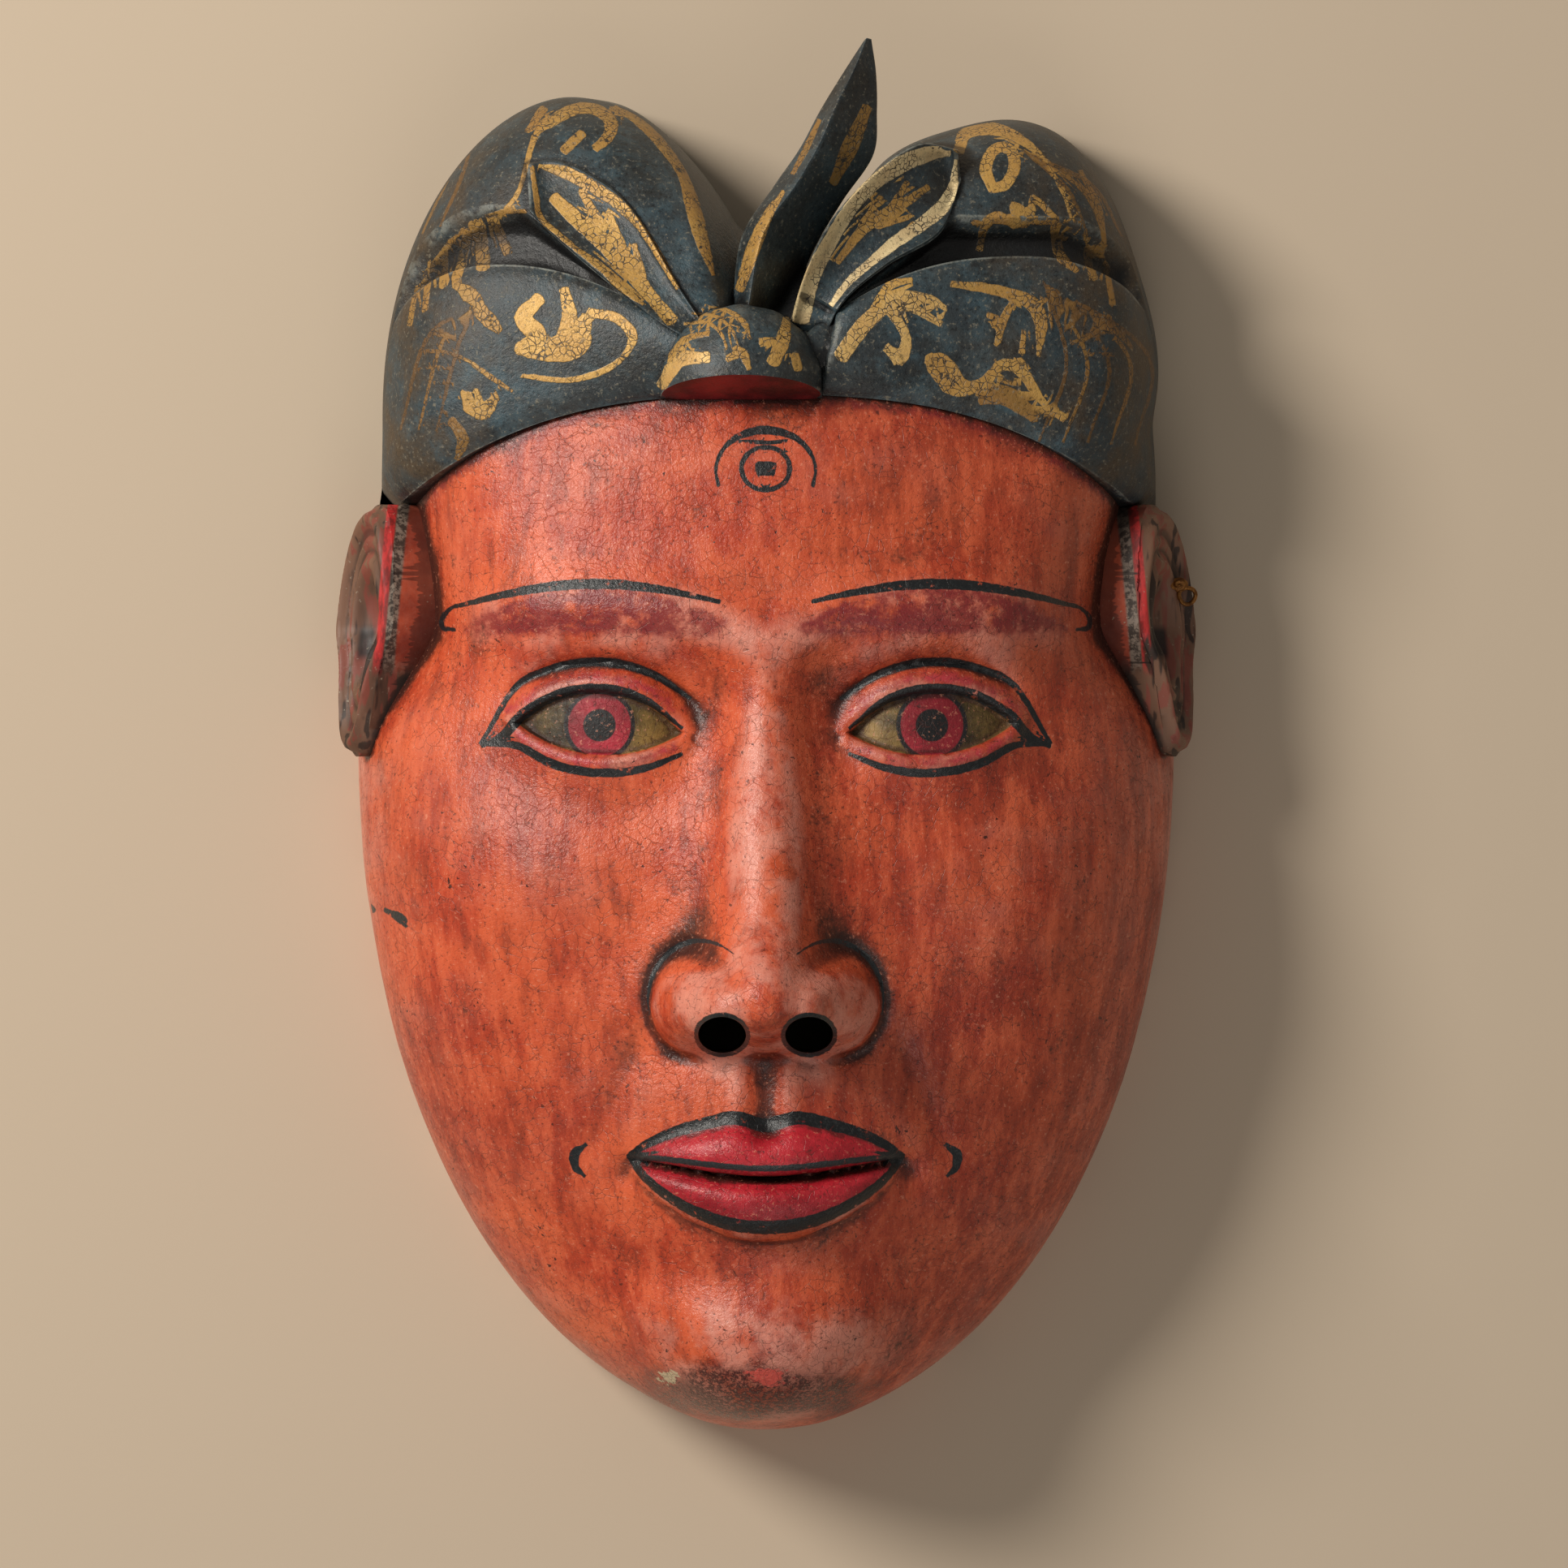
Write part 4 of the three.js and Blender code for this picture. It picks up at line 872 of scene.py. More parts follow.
def stroke_field(places, strokes):
    """For each place, the nearest stroke: offset to one side of it, distance, half width, tone."""
    field = np.tile([99.0, 99.0, 0.0, 0.0], (len(places), 1))
    best = np.full(len(places), 4.0)
    for tone, *knots in strokes:
        route = curve_through(np.array(knots, float), 6)
        low, high = route[:, :2].min(0) - 5, route[:, :2].max(0) + 5
        near = np.flatnonzero(((places > low) & (places < high)).all(1))
        start, step = route[:-1], np.diff(route, axis=0)
        length = np.maximum(np.hypot(step[:, 0], step[:, 1]), 1e-6)
        gap = places[near][:, None] - start[None, :, :2]
        share = np.clip((gap * step[:, :2]).sum(-1) / length**2, 0, 1)
        away = gap - share[..., None] * step[:, :2]
        distance = np.hypot(away[..., 0], away[..., 1])
        width = start[:, 2] + share * step[:, 2]
        pick = (distance - width).argmin(1)
        row = np.arange(len(near))
        offset = (gap[..., 0] * step[:, 1] - gap[..., 1] * step[:, 0])[row, pick] / length[pick]
        found = np.column_stack([offset, distance[row, pick], width[row, pick], np.full(len(near), tone)])
        closer = (distance - width)[row, pick] < best[near]
        best[near[closer]] = (distance - width)[row, pick][closer]
        field[near[closer]] = found[closer]
    return field


# ---------------------------------------------------------------- what the surface is like
def vertex_array(mesh, name="co"):
    """Places or normals of all vertices, one to a row."""
    data = np.empty(len(mesh.vertices) * 3, np.float32)
    mesh.vertices.foreach_get(name, data)
    return data.reshape(-1, 3).astype(float)


def put_attribute(mesh, name, values):
    """Stores a number, or three, for each vertex."""
    kind, key = ("FLOAT_VECTOR", "vector") if values.ndim == 2 else ("FLOAT", "value")
    layer = mesh.attributes.new(name, kind, "POINT")
    layer.data.foreach_set(key, np.ascontiguousarray(values, dtype=np.float32).ravel())


def smoothed(values, edges, rounds):
    """Each value moved to the mean of its neighbours, a number of times."""
    count = len(values)
    a, b = edges[:, 0], edges[:, 1]
    links = np.maximum(np.bincount(a, minlength=count) + np.bincount(b, minlength=count), 1)
    result = values.copy()
    for _ in range(rounds):
        total = np.empty_like(result)
        for axis in range(result.shape[1]):
            total[:, axis] = (np.bincount(a, result[b, axis], count) + np.bincount(b, result[a, axis], count))
        result = 0.5 * result + 0.5 * total / links[:, None]
    return result


def hollowness(places, normals, edges, rounds):
    """Above 0 in a hollow and below 0 on a ridge, in millimetres: how far the smoothed surface
    stands off the real one."""
    return ((smoothed(places, edges, rounds) - places) * normals).sum(1)


def add_looks(mesh):
    """Stores where each kind of paint and wear lies, and how hollow or raised the surface is, for the
    materials to read; they also darken the hollows as painted shade and lighten the raised parts as painted
    sheen.
    """
    places = vertex_array(mesh) / MM
    normals = vertex_array(mesh, "normal")
    edges = np.empty(len(mesh.edges) * 2, np.int32)
    mesh.edges.foreach_get("vertices", edges)
    edges = edges.reshape(-1, 2)
    x, y, z = places.T
    facing = (normals[:, 2] > 0.12)[:, None]
    off = np.array([99.0, 99.0, 0.0, 0.0])
    for name, strokes in (("gold", gold_strokes()), ("ink", ink_strokes()), ("crimson", crimson_strokes())):
        field = np.where(facing, stroke_field(places[:, :2], strokes), off)
        put_attribute(mesh, name, field[:, :3])
        put_attribute(mesh, name + "_tone", field[:, 3])
    across, up, upper, lower = eye_places(x, y)
    _, line, lip_up, lip_down = lip_places(x)
    lips = np.where(y > line, y - line - lip_up, line - y - lip_down)
    lips = np.maximum(lips, np.abs(x) - LIP_HALF + 0.5)
    pupil = np.hypot(across, up - 0.6)
    put_attribute(mesh, "features", np.column_stack([lips, np.maximum(upper, lower), pupil]))
    fine = hollowness(places, normals, edges, 6)
    broad = hollowness(places, normals, edges, 60)
    put_attribute(mesh, "form", np.column_stack([fine, broad, ramp(7, 18, z)]))
    ear_up = y - EAR_MIDDLE[1]
    ear_across = np.abs(x) - EAR_MIDDLE[0] + EAR_LEAN * ear_up + 1.2 * (x > 0)
    put_attribute(mesh, "ear", np.column_stack([ear_across, ear_up / EAR_UP, 0 * x]))


# ---------------------------------------------------------------- materials
AGE, BRUSH = "Marks of age", "Brush stroke"
LACQUER, CLOTH_PAINT, EAR_WOOD = "face lacquer", "headcloth paint", "ear wood"
HOLLOW_WOOD, OXBLOOD = "hollow wood", "oxblood lacquer"


def colour(code):
    """A paint colour, from the usual six-figure code, as the light it gives back."""
    parts = np.array([int(code[i:i + 2], 16) / 255 for i in (0, 2, 4)])
    linear = np.where(parts <= 0.04045, parts / 12.92, ((parts + 0.055) / 1.055) ** 2.4)
    return (*linear.tolist(), 1.0)


class Recipe:
    """A node tree being laid out, with short ways to add a node and join it up."""

    def __init__(self, tree):
        self.tree = tree

    def add(self, kind, inputs, **settings):
        """A node with its settings, each input joined to a socket or given a value."""
        node = self.tree.nodes.new(kind)
        for key, value in settings.items():
            setattr(node, key, value)
        for key, value in inputs.items():
            if isinstance(value, bpy.types.NodeSocket):
                self.tree.links.new(value, node.inputs[key])
            else:
                node.inputs[key].default_value = value
        return node

    def maths(self, operation, *values):
        """One sum on numbers or sockets."""
        return self.add("ShaderNodeMath", dict(enumerate(values)), operation=operation).outputs[0]

    def between(self, low, high, value):
        """0 at low and 1 at high, smoothly; low may be the larger."""
        node = self.add("ShaderNodeMapRange", {0: value, 1: low, 2: high}, interpolation_type="SMOOTHSTEP")
        return node.outputs[0]

    def blend(self, share, base, over):
        """From one colour to the other by a share."""
        return self.add("ShaderNodeMix", {0: share, 6: base, 7: over}, data_type="RGBA").outputs[2]

    def shades(self, share, dark, light):
        """From one paint colour to another."""
        return self.blend(share, colour(dark), colour(light))

    def coat(self, mask, strength, base, code):
        """One paint colour laid over what is there, where a mask says and at a strength."""
        return self.blend(self.maths("MULTIPLY", mask, strength), base, colour(code))

    def noise(self, place, scale, detail=2.0, roughness=0.5, distortion=0.0):
        """Fractal noise, with its scale in patches to a metre."""
        inputs = {"Vector": place, "Scale": scale, "Detail": detail, "Roughness": roughness,
                  "Distortion": distortion}
        return self.add("ShaderNodeTexNoise", inputs).outputs["Fac"]

    def place(self, stretch=(1, 1, 1)):
        """The place on the piece, which a small number stretches along that axis."""
        here = self.add("ShaderNodeTexCoord", {}).outputs["Object"]
        return self.add("ShaderNodeMapping", {"Vector": here, "Scale": stretch}).outputs[0]

    def spot(self, middle, half, ragged):
        """How far out in an oval in the plane of X and Y, 1 at its outline, made ragged by a noise."""
        here = self.add("ShaderNodeTexCoord", {}).outputs["Object"]
        scale = (1 / (half[0] * MM), 1 / (half[1] * MM), 0)
        shift = (-middle[0] / half[0], -middle[1] / half[1], 0)
        moved = self.add("ShaderNodeMapping", {"Vector": here, "Scale": scale, "Location": shift}).outputs[0]
        out = self.add("ShaderNodeVectorMath", {0: moved}, operation="LENGTH").outputs["Value"]
        return self.maths("ADD", out, ragged)

    def stored(self, name, output="Vector"):
        """What the mesh keeps for each vertex under a name."""
        return self.add("ShaderNodeAttribute", {}, attribute_name=name).outputs[output]

    def parts(self, vector):
        """The three numbers of a vector."""
        return self.add("ShaderNodeSeparateXYZ", {0: vector}).outputs

    def group(self, name, inputs):
        """A shared group, which is built the first time it is asked for."""
        if name not in bpy.data.node_groups:
            GROUP_MAKERS[name]()
        return self.add("ShaderNodeGroup", inputs, node_tree=bpy.data.node_groups[name]).outputs

    def marks(self, scale, crack_size, crack_width=0.045):
        """The marks of age at a finish's own scale, its cracks in millimetres apart."""
        return self.group(AGE, {"Scale": scale, "Crack Size": crack_size, "Crack Width": crack_width})

    def painted(self, name, unevenness, softness=0.1):
        """Where one paint's strokes lie, and their tone."""
        inputs = {"Stroke": self.stored(name), "Unevenness": unevenness, "Softness": softness}
        return self.group(BRUSH, inputs)["Mask"], self.stored(name + "_tone", "Fac")


def new_group(name, numbers, outputs, vectors=()):
    """An empty node group with vector inputs, number inputs with their defaults, and outputs."""
    tree = bpy.data.node_groups.new(name, "ShaderNodeTree")
    for title in vectors:
        tree.interface.new_socket(title, in_out="INPUT", socket_type="NodeSocketVector")
    for title, default in numbers.items():
        socket = tree.interface.new_socket(title, in_out="INPUT", socket_type="NodeSocketFloat")
        socket.default_value = default
    for title in outputs:
        tree.interface.new_socket(title, in_out="OUTPUT", socket_type="NodeSocketFloat")
    recipe = Recipe(tree)
    return recipe, recipe.add("NodeGroupInput", {}).outputs


def age_group():
    """Marks of age that every finish shares: broad mottling, fine grain, flecks and cracks."""
    recipe, given = new_group(AGE, {"Scale": 1.0, "Crack Size": 2.5, "Crack Width": 0.045},
                              ("Mottle", "Cloud", "Grain", "Fleck", "Crack"))
    place = recipe.place()
    scaled = recipe.add("ShaderNodeVectorMath", {0: place, 3: given["Scale"]}, operation="SCALE").outputs[0]
    mottle = recipe.between(0.36, 0.66, recipe.noise(scaled, 60, 5, 0.62))
    cloud = recipe.between(0.40, 0.62, recipe.noise(scaled, 21, 3, 0.55))
    grain = recipe.noise(scaled, 520, 4, 0.65)
    thick = recipe.between(0.45, 0.66, recipe.noise(scaled, 90, 3, 0.5))
    dots = recipe.between(0.655, 0.70, recipe.noise(scaled, 900, 2, 0.6))
    fleck = recipe.maths("MULTIPLY", dots, thick)
    shift = recipe.add("ShaderNodeTexNoise", {"Vector": place, "Scale": 300.0}).outputs["Color"]
    bent = recipe.add("ShaderNodeMix", {0: 0.0022, 4: place, 5: shift}, data_type="VECTOR").outputs[1]
    cell_scale = recipe.maths("DIVIDE", 1000.0, given["Crack Size"])
    edge = recipe.add("ShaderNodeTexVoronoi", {"Vector": bent, "Scale": cell_scale},
                      feature="DISTANCE_TO_EDGE").outputs["Distance"]
    line = recipe.between(1.0, 0.3, recipe.maths("DIVIDE", edge, given["Crack Width"]))
    crack = recipe.maths("MULTIPLY", line, recipe.between(0.40, 0.55, recipe.noise(place, 130, 3, 0.5)))
    marks = {"Mottle": mottle, "Cloud": cloud, "Grain": grain, "Fleck": fleck, "Crack": crack}
    recipe.add("NodeGroupOutput", marks)


def brush_group():
    """Where a stroke of paint lies: inside its half width, with a slightly uneven edge."""
    recipe, given = new_group(BRUSH, {"Unevenness": 0.3, "Softness": 0.1}, ("Mask",), ("Stroke",))
    parts = recipe.parts(given["Stroke"])
    side = recipe.maths("ABSOLUTE", parts[0])
    past_end = recipe.maths("SUBTRACT", parts[1], 0.5)
    away = recipe.maths("SUBTRACT", recipe.maths("MAXIMUM", side, past_end), parts[2])
    ragged = recipe.maths("SUBTRACT", recipe.noise(recipe.place(), 650, 3, 0.6), 0.5)
    away = recipe.maths("MULTIPLY_ADD", ragged, given["Unevenness"], away)
    inside = recipe.between(1.0, -1.0, recipe.maths("DIVIDE", away, given["Softness"]))
    recipe.add("NodeGroupOutput", {"Mask": inside})


GROUP_MAKERS = {AGE: age_group, BRUSH: brush_group}


def new_material(name):
    """An empty material and the recipe that fills it."""
    material = bpy.data.materials.new(name)
    material.use_nodes = True
    material.node_tree.nodes.clear()
    return material, Recipe(material.node_tree)


def finish(recipe, base, roughness, height, relief=0.25, strength=0.5, metallic=0.0):
    """Joins what varies to the shader; plain values sit on it, and relief is in millimetres."""
    bump = recipe.add("ShaderNodeBump", {"Height": height, "Distance": relief * MM, "Strength": strength})
    inputs = {"Base Color": base, "Roughness": roughness, "Metallic": metallic, "Normal": bump.outputs[0]}
    shader = recipe.add("ShaderNodeBsdfPrincipled", inputs)
    recipe.add("ShaderNodeOutputMaterial", {"Surface": shader.outputs[0]})


def lacquer_material(paints):
    """Red lacquer of the face with its painted eyes, brows and lips, rubbed and sooty with age. Painted shade
    darkens it towards the viewer's right and in its hollows and creases; a painted sheen lies on the raised
    parts and a painted highlight under the chin.
    """
    material, r = new_material(LACQUER)
    age = r.marks(1.0, 2.4, 0.03)
    fine_form, broad_form, _ = r.parts(r.stored("form"))
    off_lips, off_opening, off_pupil = r.parts(r.stored("features"))
    place = r.place()
    fine = r.noise(place, 1150, 3, 0.75)
    patchy = r.noise(place, 85, 5, 0.65)
    streaks = r.noise(r.place((1, 0.22, 1)), 260, 5, 0.72)
    sideways = r.parts(place)[0]

    red = r.blend(age["Mottle"], tuple(paints.lacquer_dark), tuple(paints.lacquer_light))
    red = r.coat(age["Cloud"], 0.6, red, "9c3220")
    # painted shade: the lacquer darkens towards the viewer's right, the side away from the key light
    red = r.coat(r.between(-0.02, 0.07, sideways), 0.45, red, "8c3522")
    red = r.coat(r.between(0.44, 0.66, streaks), 0.55, red, "ea7048")
    red = r.coat(r.between(0.50, 0.32, streaks), 0.55, red, "7c2c1c")
    # lighter pink on the raised parts: partly rubbed wear, partly a painted sheen where the gloss catches the
    # light
    rubbed = r.maths("MULTIPLY", r.between(-0.05, -0.8, broad_form), r.between(0.38, 0.62, patchy))
    red = r.coat(rubbed, 0.75, red, "e79a86")

    lip_red = r.blend(r.between(0.35, 0.65, patchy), colour("93121f"), tuple(paints.lips))
    red = r.blend(r.between(0.15, -0.15, off_lips), red, lip_red)

    crimson, tone = r.painted("crimson", 3.4, 1.1)
    crimson_paint = r.shades(tone, "64151a", "c03c48")
    crimson_paint = r.blend(r.between(0.42, 0.62, patchy), crimson_paint, colour("8e2723"))
    crimson = r.maths("MULTIPLY", crimson, r.between(0.72, 0.45, r.noise(place, 240, 4, 0.7)))
    red = r.blend(r.maths("MULTIPLY", crimson, 0.9), red, crimson_paint)

    opening = r.between(0.1, -0.2, off_opening)
    eye = r.shades(age["Mottle"], "2b2412", "9c7c40")
    eye = r.coat(age["Fleck"], 0.9, eye, "15120c")
    eye = r.blend(r.between(6.6, 6.3, off_pupil), eye, colour("141416"))
    ring = r.shades(age["Mottle"], "7d1420", "b8283a")
    eye = r.blend(r.between(5.8, 5.5, off_pupil), eye, ring)
    eye = r.blend(r.between(3.1, 2.8, off_pupil), eye, colour("0f1012"))
    red = r.blend(opening, red, eye)

    ragged = r.maths("MULTIPLY_ADD", patchy, 1.6, -0.8)
    patch = r.between(1.3, 0.75, r.spot((-3.5, -120.0), (19, 5.2), ragged))
    red = r.coat(patch, r.between(0.70, 0.42, fine), red, "3f0d10")
    broken = r.maths("MULTIPLY_ADD", r.noise(place, 520, 3, 0.7), 3.4, -1.6)
    # a painted highlight: a small bright pink-red patch under the chin
    painted_highlight = r.between(1.2, 0.7, r.spot((0.5, -117.2), (3.4, 1.8), broken))
    red = r.blend(painted_highlight, red, colour("d8564a"))
    chip = r.between(1.05, 0.9, r.spot((-17.6, -117.6), (1.9, 1.3), broken))
    red = r.blend(chip, red, colour("c9b592"))

    # dark in the broad hollows, less in the eye openings: partly sooty grime, partly painted shade where the
    # hollows fall into shadow
    grime_and_shade = r.maths("MULTIPLY_ADD", r.maths("SUBTRACT", patchy, 0.5), 2.4, broad_form)
    grime_and_shade = r.maths("MULTIPLY_ADD", r.maths("SUBTRACT", fine, 0.5), 1.2, grime_and_shade)
    soot_and_shade = r.maths("MULTIPLY", r.between(0.12, 1.35, grime_and_shade), r.maths("MULTIPLY_ADD", opening, -0.6, 0.9))
    red = r.blend(soot_and_shade, red, colour("2c1e17"))
    # darker in the fine creases: partly grime, partly painted shade
    red = r.coat(r.between(0.03, 0.22, fine_form), 0.6, red, "34130f")
    stain = r.maths("MULTIPLY", r.between(0.60, 0.72, patchy), r.between(0.42, 0.56, fine))
    red = r.coat(stain, 0.6, red, "4a3026")
    red = r.coat(r.between(0.56, 0.72, fine), 0.75, red, "43180f")
    red = r.coat(r.between(0.42, 0.28, fine), 0.45, red, "f2a384")
    red = r.coat(age["Fleck"], 0.9, red, "2c1512")
    red = r.coat(age["Crack"], 0.4, red, "431a13")

    ink, tone = r.painted("ink", 0.5)
    ink_paint = r.coat(r.between(0.5, 0.7, fine), 0.5, r.shades(tone, "0e1012", "33373a"), "3a3d3e")
    kept = r.between(0.27, 0.40, age["Grain"])
    red = r.blend(r.maths("MULTIPLY", ink, kept), red, ink_paint)

    roughness = r.maths("MULTIPLY_ADD", fine, 0.42, 0.16)
    roughness = r.maths("MULTIPLY_ADD", opening, 0.2, roughness)
    roughness = r.maths("MULTIPLY_ADD", patch, -0.12, roughness)
    height = r.maths("MULTIPLY_ADD", fine, -0.8, r.maths("MULTIPLY", streaks, 0.5))
    height = r.maths("MULTIPLY_ADD", age["Crack"], -0.25, height)
    finish(r, red, roughness, height, relief=0.5)
    return material


def headcloth_material(paints):
    """Blue-black paint with worn gold leafwork, greyed on its ridges, brown with dirt, and with painted shade
    in its hollows and creases.
    """
    material, r = new_material(CLOTH_PAINT)
    age = r.marks(1.0, 1.2, 0.075)
    fine_form, broad_form, raised = r.parts(r.stored("form"))
    place = r.place()
    fine = r.noise(place, 1200, 3, 0.7)
    streak = r.between(0.35, 0.65, r.noise(place, 150, 5, 0.7))
    blue = r.blend(age["Mottle"], tuple(paints.cloth_dark), tuple(paints.cloth_light))
    blue = r.coat(streak, 0.45, blue, "39484d")
    worn = r.maths("MULTIPLY", age["Cloud"], r.between(0.42, 0.66, r.noise(place, 190, 5, 0.7)))
    blue = r.coat(worn, 0.5, blue, "4a6570")
    ridge = r.maths("MULTIPLY", r.between(-0.16, -0.42, fine_form), r.between(0.35, 0.6, age["Grain"]))
    ridge = r.maths("MULTIPLY", ridge, raised)
    blue = r.coat(ridge, 0.8, blue, "858a84")

    across = r.maths("ABSOLUTE", r.parts(place)[0])
    side = r.maths("MULTIPLY_ADD", r.between(0.030, 0.066, across), 0.75, 0.22)
    dirt = r.maths("MULTIPLY", side, r.between(0.35, 0.68, r.noise(place, 110, 6, 0.7)))
    blue = r.blend(dirt, blue, colour("4a3b29"))

    gold, tone = r.painted("gold", 0.5)
    leaf = r.blend(tone, tuple(paints.gold_dull), tuple(paints.gold_bright))
    leaf = r.coat(r.between(0.8, 1.0, tone), 0.75, leaf, "f6e6b8")
    leaf = r.coat(streak, 0.35, leaf, "a8743a")
    loss = r.maths("MULTIPLY_ADD", tone, 0.10, r.noise(place, 480, 5, 0.7))
    loss = r.maths("MULTIPLY_ADD", r.between(0.3, 0.2, tone), 0.12, loss)
    kept = r.maths("MULTIPLY", r.between(0.38, 0.47, loss), r.maths("MULTIPLY_ADD", age["Crack"], -0.95, 1.0))
    kept = r.maths("MULTIPLY", kept, r.maths("MULTIPLY_ADD", age["Fleck"], -0.9, 1.0))
    gilded = r.maths("MULTIPLY", r.maths("MULTIPLY", gold, kept), r.between(-0.25, 0.3, tone))
    under = r.blend(0.55, blue, colour("3c2a18"))
    # dark in the broad hollows, before and after the gold: partly dark paint and dirt, partly painted shade
    # under the overhanging folds
    hollow = r.between(0.1, 1.1, broad_form)
    blue = r.blend(gold, blue, under)
    blue = r.coat(hollow, 0.8, blue, "0f0e0e")
    blue = r.blend(gilded, blue, leaf)
    blue = r.coat(hollow, 0.45, blue, "0f0e0e")
    # painted shade: darker in the fine creases
    blue = r.coat(r.between(0.03, 0.2, fine_form), 0.7, blue, "0d0c0d")
    dust = r.maths("MULTIPLY", r.between(0.57, 0.70, fine), r.maths("MULTIPLY_ADD", hollow, -0.6, 0.6))
    blue = r.blend(dust, blue, colour("8b8370"))
    blue = r.coat(r.between(0.45, 0.32, fine), 0.6, blue, "0c0d0f")

    roughness = r.maths("MULTIPLY_ADD", side, 0.12, r.maths("MULTIPLY_ADD", fine, 0.34, 0.26))
    height = r.maths("MULTIPLY_ADD", gilded, 0.4, fine)
    finish(r, blue, roughness, height, relief=0.4, metallic=r.maths("MULTIPLY", gilded, 0.15))
    return material


def wood_colours(r, stretch, dark, light):
    """Lengthwise streaks and fine pores of old wood, as a colour and a height."""
    place = r.place(stretch)
    streak = r.noise(place, 45, 5, 0.6, 0.6)
    pores = r.noise(place, 420, 3, 0.6)
    shade = r.blend(r.between(0.3, 0.7, streak), dark, light)
    shade = r.blend(r.maths("MULTIPLY", r.between(0.58, 0.70, pores), 0.6), shade, dark)
    return shade, r.maths("ADD", r.maths("MULTIPLY", streak, 0.5), r.maths("MULTIPLY", pores, 0.5))


def ear_material():
    """Bare rubbed wood of the ears with painted shade in the bowl, hollows and creases, and on the front
    edge, from the face outward, lacquer, a grey speckled strip and a bright red stripe."""
    material, r = new_material(EAR_WOOD)
    age = r.marks(1.4, 2.0)
    fine_form, broad_form, _ = r.parts(r.stored("form"))
    across, height_share, _ = r.parts(r.stored("ear"))
    wood, grain = wood_colours(r, (1, 0.2, 1), colour("3a2519"), colour("86604a"))
    planks = r.noise(r.place((1, 0.08, 1)), 420, 2, 0.5)
    wood = r.coat(r.between(0.54, 0.60, planks), 0.6, wood, "8c3a30")
    wood = r.coat(r.between(0.44, 0.38, planks), 0.8, wood, "1a100b")

    def off(value, middle):
        """Distance from a middle value."""
        return r.maths("ABSOLUTE", r.maths("SUBTRACT", value, middle))

    above = r.between(-0.42, -0.22, height_share)
    stripe = r.maths("MULTIPLY", r.between(1.1, 0.7, off(across, 0.3)), above)
    strip = r.maths("MULTIPLY", r.between(-0.5, -1.0, across), above)
    lacquered = r.maths("MULTIPLY", r.between(-2.5, -3.1, across), above)
    # painted shade: a dark oval over the ear's bowl
    bowl_shade = r.maths("MULTIPLY", r.between(2.0, 0.9, off(across, 3.0)),
                  r.between(0.17, 0.08, off(height_share, -0.12)))
    speckle = r.noise(r.place(), 900, 3, 0.7)
    wood = r.blend(strip, wood, r.shades(r.between(0.42, 0.60, speckle), "3d332c", "86776a"))
    wear = r.noise(r.place((1, 0.3, 1)), 500, 4, 0.7)
    red = r.shades(r.between(0.40, 0.62, wear), "c4302f", "7c2320")
    wood = r.blend(r.maths("MULTIPLY", stripe, r.between(0.30, 0.42, planks)), wood, red)
    wood = r.coat(bowl_shade, 0.9, wood, "120a08")
    # dark in the broad hollows, less on the grey strip: partly sooty grime, partly painted shade
    wood = r.coat(r.between(0.4, 1.8, broad_form), r.maths("MULTIPLY_ADD", strip, -0.45, 0.8), wood, "1d110c")
    lacquer = r.shades(age["Mottle"], "8e3320", "bf5233")
    wood = r.blend(r.maths("MULTIPLY", lacquered, 0.9), wood, lacquer)
    # painted shade: darker in the fine creases
    wood = r.coat(r.between(0.05, 0.3, fine_form), 0.55, wood, "1d110c")
    wood = r.coat(age["Fleck"], 0.8, wood, "a79a86")
    finish(r, wood, r.maths("MULTIPLY_ADD", age["Mottle"], 0.2, 0.5), grain)
    return material


def hollow_material(paints):
    """Bare wood of the rim and the hollow, dark and greasy from being worn, with painted shade in its
    creases.
    """
    material, r = new_material(HOLLOW_WOOD)
    age = r.marks(0.8, 4.0)
    fine_form = r.parts(r.stored("form"))[0]
    wood, grain = wood_colours(r, (1, 0.16, 1), colour("4a3120"), tuple(paints.bare_wood))
    wood = r.coat(age["Cloud"], 0.6, wood, "3a2417")
    # painted shade: darker in the creases of the gouge marks
    wood = r.coat(r.between(0.0, 0.3, fine_form), 0.6, wood, "2a1a10")
    wood = r.coat(age["Fleck"], 0.5, wood, "1d120b")
    finish(r, wood, r.maths("MULTIPLY_ADD", age["Mottle"], 0.2, 0.55), grain, strength=0.6)
    return material


def oxblood_material():
    """Dark glossy red under the knob."""
    material, r = new_material(OXBLOOD)
    age = r.marks(1.5, 2.0)
    red = r.shades(age["Mottle"], "3d0f12", "8e2024")
    red = r.coat(age["Fleck"], 0.7, red, "1c0c0b")
    finish(r, red, r.maths("MULTIPLY_ADD", age["Mottle"], 0.15, 0.32), age["Grain"], strength=0.4)
    return material


def wire_material(paints):
    """Old brass wire, brown and rubbed in patches."""
    material, r = new_material("old wire")
    age = r.marks(4.0, 0.8)
    brass = r.blend(age["Mottle"], colour("5a3417"), tuple(paints.brass))
    roughness = r.maths("MULTIPLY_ADD", age["Mottle"], 0.25, 0.35)
    finish(r, brass, roughness, age["Grain"], strength=0.4, metallic=0.8)
    return material


# ---------------------------------------------------------------- pieces
MERGE_DISTANCE = 2e-6          # metres
CREASE_ANGLE = 48              # degrees
CLOTH_FOOT_Y = 66              # nothing higher up than this is face
RIM_TOP_Z = 0.5
UNDER_KNOB_HALF, UNDER_KNOB_Z = (15, 6), 50
LEVEL_DOWN, LEANING_DOWN = -0.9, -0.55


